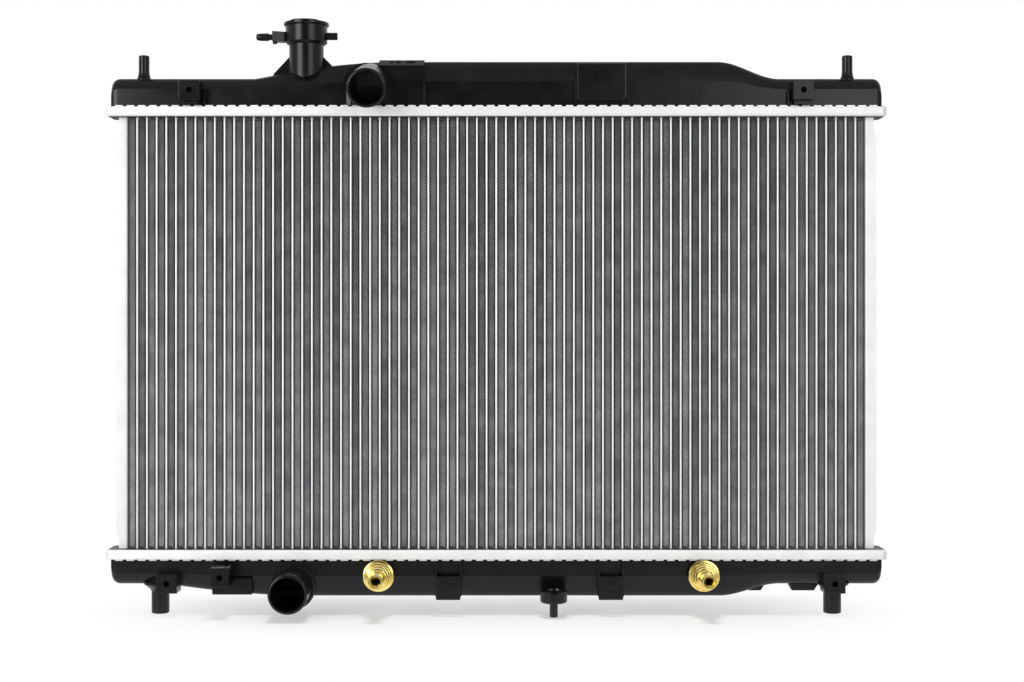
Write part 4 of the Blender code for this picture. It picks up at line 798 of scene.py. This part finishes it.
# Screw bosses for the fan shroud, each on a narrower block, with a rib beside it
for side in (-1, 1):
    x = side * 303.5 * mm
    boss, hole = screw_boss(x, face + 13.7 * mm)
    joined.append(boss)
    joined.append(moulded_block((x - 8 * mm, front_wall - 7 * mm, face + 0.3 * mm),
                                (x + 8 * mm, inner_front, face + 6 * mm), 0.4 * mm))
    rib_x = x - side * 13.2 * mm
    joined.append(moulded_block((rib_x - 0.9 * mm, front_wall - 4 * mm, face + 0.3 * mm),
                                (rib_x + 0.9 * mm, inner_front, face + 14 * mm), 0.3 * mm))
    cuts.append(hole)

# Raised pad between two ribs
joined.append(moulded_block((79.5 * mm, front_wall - 2.8 * mm, face + 5.2 * mm),
                            (130.5 * mm, core_y - 2 * mm, face + 42.2 * mm), 2.2 * mm))
for x in (78.9 * mm, 130.9 * mm):
    joined.append(moulded_block((x - 0.7 * mm, front_wall - 2.8 * mm, face + 0.3 * mm),
                                (x + 0.7 * mm, inner_front, face + 26 * mm), 0.3 * mm))

# Block beside the hose neck, with a bevelled top that has three slots, and a rib at its right
BLOCK_LEFT, BLOCK_RIGHT = -117 * mm, -71.8 * mm
block_back = core_y - 1 * mm
joined.append(prism(((BLOCK_LEFT, face + 0.6 * mm), (-72.5 * mm, face + 0.6 * mm),
                     (BLOCK_RIGHT, face + 1.2 * mm), (BLOCK_RIGHT, face + 39.4 * mm),
                     (BLOCK_LEFT, face + 39.4 * mm)), front_wall - 1.8 * mm, block_back))
lip = front_wall - 2.2 * mm
bevel = ((lip, 39.2 * mm), (lip, 39.8 * mm), (front_wall + 6.4 * mm, 46.2 * mm), (block_back, 46.2 * mm),
         (block_back, 39.2 * mm))
joined.append(loft([[Vector((x, y, face + z)) for y, z in bevel] for x in (BLOCK_LEFT, BLOCK_RIGHT)]))
for low_x, high_x in ((-106 * mm, -102.6 * mm), (-100.2 * mm, -95.4 * mm), (-90.4 * mm, -80.6 * mm)):
    cuts.append(moulded_block((low_x, front_wall - 4 * mm, face + 42.2 * mm),
                              (high_x, front_wall + 5.6 * mm, face + 44.6 * mm), 0.6 * mm))
joined.append(moulded_block((-72.4 * mm, front_wall - 3.2 * mm, face + 0.4 * mm),
                            (-70.4 * mm, inner_front, face + 23 * mm), 0.3 * mm))

# Filler neck: a column with a cup for the cap on top. Its rim is flat, with a raised cam in
# front and at the back, between the two sides where the cap's ears go in
FILLER_X = -190.8 * mm
CAM_RISE = 0.8 * mm
CUP_FOOT, SEAT, RIM_FOOT, RIM_TOP = 64.4, 65.2, 81.6, 84.4
at_filler = Matrix.Translation((FILLER_X, core_y, face))


def rim_ring(radius, height):
    """A ring of the rim, lifted by the cams in front and at the back."""
    ring = circle(radius, height, 96)
    for point in ring:
        point.z += CAM_RISE * ease((degrees(atan2(abs(point.y), abs(point.x))) - 50) / 10)
    return ring


neck_outside = [circle(radius, height, 96) for radius, height in (
    (11.5, 2.5), (11.5, 25.0), (17.25, 27.6), (17.25, CUP_FOOT - 2.6), (17.9, CUP_FOOT - 2.4),
    (20.4, CUP_FOOT - 0.4), (20.9, CUP_FOOT + 0.3), (20.9, RIM_FOOT - 1.2), (22.3, RIM_FOOT - 0.2),
    (22.6, RIM_FOOT + 0.2))]
neck_rim = [rim_ring(radius, height) for radius, height in (
    (22.6, RIM_TOP - 0.5), (22.1, RIM_TOP), (17.0, RIM_TOP), (16.5, RIM_TOP - 0.5))]
neck_inside = [circle(radius, height, 96) for radius, height in (
    (16.5, SEAT), (13.5, SEAT), (13.5, 31.0), (9.0, 28.0), (9.0, 2.5))]
neck_rings = neck_outside + neck_rim + neck_inside
filler = loft([[at_filler @ point for point in ring] for ring in neck_rings], closed=True)
bmesh.ops.triangulate(filler, faces=filler.faces[:])
way_in = turned(((10.25, 0.0), (10.25, 26.6), (15.4, 29.3), (15.4, 63.2)), (FILLER_X, core_y, face), sides=96)

# The column ends in a point in front and at the back, so its foot is cut on a slant to both sides
column = as_piece("column", filler, nylon)
slants = []
for front, back in ((-25 * mm, -9.6 * mm), (9.6 * mm, 25 * mm)):
    for side in (-1, 1):
        near_x, far_x = FILLER_X - side * 0.01 * mm, FILLER_X + side * 25 * mm
        slants.append(prism(((near_x, face + 20 * mm), (near_x, face + 27.2 * mm), (far_x, face + 38.0 * mm),
                             (far_x, face + 20 * mm)), core_y + front, core_y + back))
combine(column, 'DIFFERENCE', slants)
filler = bmesh.new()
filler.from_mesh(column.data)
bpy.data.objects.remove(column, do_unlink=True)
joined.append(filler)

# Gussets at both sides of the column, and the mould line down the front of the cup
for side, reach, foot_z in ((-1, 33.0 * mm, 33.2 * mm), (1, 27.5 * mm, 40.0 * mm)):
    near_x, far_x = FILLER_X + side * 15.5 * mm, FILLER_X + side * reach
    foot = face + foot_z
    joined.append(prism(((near_x, foot - 6 * mm), (far_x, foot - 6 * mm), (far_x, foot),
                         (near_x, face + 52.0 * mm)), core_y - 1.3 * mm, core_y + 1.3 * mm))
joined.append(moulded_block((FILLER_X - 2.5 * mm, core_y - 21.2 * mm, face + 66.5 * mm),
                            (FILLER_X - 1.9 * mm, core_y - 18 * mm, face + 80.6 * mm), 0.1 * mm))

# Overflow nipple on a block with a slanted front, and a blind stub at the other side
nipple = Vector((FILLER_X, core_y, face + 70.4 * mm))
half = 5 * mm
joined.append(loft([[nipple + Vector((x, y, z)) for y, z in ((front, -half), (front, half), (half, half),
                                                             (half, -half))]
                    for x, front in ((-33.5 * mm, -7.6 * mm), (-18 * mm, -2.2 * mm))]))
spur = nipple - Vector((31.8 * mm, 0, 0))
joined.append(rod(2.2, spur - Vector((0, 0, 6.8 * mm)), spur, 40))
joined.append(turned(((3.0, 30.0), (3.0, 37.6), (3.8, 37.8), (3.9, 39.0), (3.7, 46.5), (3.2, 49.0),
                      (2.6, 50.1)), nipple, (-1, 0, 0), 32))
stub = nipple + Vector((0, 0, 0.8 * mm))
joined.append(turned(((3.75, 18.0), (3.75, 30.6), (3.2, 31.2)), stub, (1, 0, 0), 32))
cuts.append(rod(1.8, nipple - Vector((55 * mm, 0, 0)), nipple, 40))

# Upper hose neck, tilted down, on an arched boss that has a wedge at its left
tilt = radians(16.0)
centre = Vector((-126.7 * mm, front_wall, face + 22.9 * mm))
forward = Vector((0, -cos(tilt), -sin(tilt)))
mouth = centre + forward * 39.5 * mm / cos(tilt)
neck, bore = hose_neck(mouth, centre - forward * 6 * mm, centre - forward * 13 * mm)
BOSS_HALF, BOSS_RISE = 23.2 * mm, 19.6 * mm
boss_x = centre.x - 2.5 * mm
boss_left = boss_x - BOSS_HALF
turns = [pi * i / 40 for i in range(41)]
outline = [(boss_x + BOSS_HALF * cos(a), centre.z + BOSS_RISE * sin(a)) for a in turns]
outline += [(boss_left, face + 0.3 * mm), (boss_x + BOSS_HALF, face + 0.3 * mm)]
joined.append(prism(outline, front_wall - 1.2 * mm, core_y - 2 * mm))
wedge_right = boss_x - 15.8 * mm
wedge = ((boss_left, inner_front), (boss_left, front_wall - 0.4 * mm), (wedge_right, front_wall - 2.4 * mm),
         (wedge_right, inner_front))
joined.append(loft([[Vector((x, y, z)) for x, y in wedge] for z in (face + 0.3 * mm, face + 23.5 * mm)]))
joined.append(neck)
cuts.append(bore)
combine(top_tank, 'DIFFERENCE', [way_in])
combine(top_tank, 'UNION', joined)
combine(top_tank, 'DIFFERENCE', cuts)
smooth(top_tank, CREASE_ANGLE)
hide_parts("top_tank", "filler_neck", "inlet_neck")
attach(top_tank, "radiator")


# Studio: a seamless white floor and backdrop, two tall soft boxes in front with the dark of
# the room between them, and a lamp above that casts the narrow shadow. The floor fades to
# plain white away from the object.
floor_mesh = bmesh.new()
bmesh.ops.create_grid(floor_mesh, x_segments=1, y_segments=1, size=6.0)

# Seamless paper: the camera sees its shade near the object and plain white further off. Glossy
# pieces see it bright around the object, and other rays meet plain pale paper.
paper, tree, spot = new_material("white_studio_paper")
WHITE = (1.0, 1.0, 1.0, 1.0)
centred = add(tree, "ShaderNodeVectorMath", {0: spot, 1: (0.0, core_y, 0.0)},
              operation="SUBTRACT")
quarter = add(tree, "ShaderNodeVectorMath", {0: centred}, operation="ABSOLUTE")
distances = []
for half_size, stretch in (((0.36, 0.03, 0.0), (1.0, 1.0, 1.0)), ((0.19, 0.05, 0.0), (0.5, 1.33, 1.0))):
    past = add(tree, "ShaderNodeVectorMath", {0: quarter, 1: half_size}, operation="SUBTRACT")
    outside = add(tree, "ShaderNodeVectorMath", {0: past, 1: (0.0, 0.0, 0.0)}, operation="MAXIMUM")
    stretched = add(tree, "ShaderNodeVectorMath", {0: outside, 1: stretch}, operation="MULTIPLY")
    distances.append(add(tree, "ShaderNodeVectorMath", {0: stretched}, operation="LENGTH").outputs["Value"])
from_object, from_shadow = distances
fade = add(tree, "ShaderNodeMapRange", {"Value": from_shadow, "From Min": 0.0, "From Max": 0.12},
           interpolation_type="SMOOTHSTEP")
lit = add(tree, "ShaderNodeBsdfDiffuse", {"Color": (0.36, 0.36, 0.36, 1.0)})
glow = add(tree, "ShaderNodeEmission", {"Color": WHITE, "Strength": 0.43})
shaded = add(tree, "ShaderNodeAddShader", {0: lit, 1: glow})
bright = add(tree, "ShaderNodeEmission", {"Color": WHITE, "Strength": 1.0})
seen_paper = add(tree, "ShaderNodeMixShader", {0: fade, 1: shaded, 2: bright})
plain = add(tree, "ShaderNodeBsdfDiffuse", {"Color": (0.7, 0.7, 0.7, 1.0)})
near = add(tree, "ShaderNodeMapRange", {"Value": from_object, "From Min": 0.03, "From Max": 0.2,
                                        "To Min": 1.0, "To Max": 0.45})
sheen = add(tree, "ShaderNodeEmission", {"Color": WHITE, "Strength": near})
path = add(tree, "ShaderNodeLightPath")
other_paper = add(tree, "ShaderNodeMixShader", {0: path.outputs["Is Glossy Ray"], 1: plain, 2: sheen})
seen = add(tree, "ShaderNodeMath", {0: path.outputs["Is Camera Ray"], 1: path.outputs["Is Transmission Ray"]},
           operation="MAXIMUM")
mixed = add(tree, "ShaderNodeMixShader", {0: seen, 1: other_paper, 2: seen_paper})
add(tree, "ShaderNodeOutputMaterial", {"Surface": mixed})
floor = as_piece("studio_floor", floor_mesh, paper)

# Room: white behind the object, half as bright in front and a little dimmer overhead, with a
# dark gap between the soft boxes. The camera sees plain white
scene = bpy.context.scene
world = bpy.data.worlds.new("studio")
scene.world = world
world.use_nodes = True
tree = world.node_tree
tree.nodes.clear()
towards = add(tree, "ShaderNodeTexCoord").outputs["Generated"]
direction = add(tree, "ShaderNodeSeparateXYZ", {0: towards})
behind = add(tree, "ShaderNodeMapRange", {"Value": direction.outputs["Y"], "From Min": 0.1, "From Max": 0.6,
                                          "To Min": 0.5, "To Max": 1.0})
overhead = add(tree, "ShaderNodeMapRange", {"Value": direction.outputs["Z"], "From Min": 0.35,
                                            "From Max": 0.8, "To Min": 1.0, "To Max": 0.75})
around = add(tree, "ShaderNodeMath", {0: behind, 1: overhead}, operation="MULTIPLY")
ahead = add(tree, "ShaderNodeVectorMath", {0: towards, 1: (0.0, -0.985, 0.17)},
            operation="DOT_PRODUCT")
gap = add(tree, "ShaderNodeMapRange", {"Value": ahead.outputs["Value"], "From Min": 0.92, "From Max": 0.98,
                                       "To Min": 1.0, "To Max": 0.05}, interpolation_type="SMOOTHSTEP")
strength = add(tree, "ShaderNodeMath", {0: around, 1: gap}, operation="MULTIPLY")
room = add(tree, "ShaderNodeBackground", {"Color": WHITE, "Strength": strength})
backdrop = add(tree, "ShaderNodeBackground", {"Color": WHITE, "Strength": 1.0})
path = add(tree, "ShaderNodeLightPath")
mixed = add(tree, "ShaderNodeMixShader", {0: path.outputs["Is Camera Ray"], 1: room, 2: backdrop})
add(tree, "ShaderNodeOutputWorld", {0: mixed})
for name, place, target, width, height, power, in_reflections in (
        ("left_soft_box", (-1.4, -1.5, 0.7), (0.0, 0.0, 0.3), 1.0, 1.4, 24.0, True),
        ("right_soft_box", (0.85, -1.5, 0.7), (0.0, 0.0, 0.3), 0.85, 1.4, 8.5, True),
        ("top_lamp", (0.0, -0.12, 2.2), (0.0, core_y, 0.0), 0.6, 0.45, 38.0, False)):
    lamp = bpy.data.lights.new(name, 'AREA')
    lamp.shape = 'RECTANGLE'
    lamp.size, lamp.size_y = width, height
    lamp.energy = power
    holder = bpy.data.objects.new(name, lamp)
    holder.location = place
    holder.rotation_euler = (Vector(target) - Vector(place)).to_track_quat('-Z', 'Y').to_euler()
    holder.visible_glossy = in_reflections
    scene.collection.objects.link(holder)

# Camera: level with the middle of the radiator and square to it, with a small shift that
# frames the object as the photograph does
lens = bpy.data.cameras.new("camera")
lens.sensor_width = 36.0
lens.lens = 54.56
lens.shift_x = 0.0153
lens.shift_y = -0.0215
camera = bpy.data.objects.new("camera", lens)
camera.location = (0.0, core_y - 1.56, 0.295)
camera.rotation_euler = (radians(90), 0.0, 0.0)
scene.collection.objects.link(camera)
scene.camera = camera
scene.view_settings.view_transform = 'Standard'
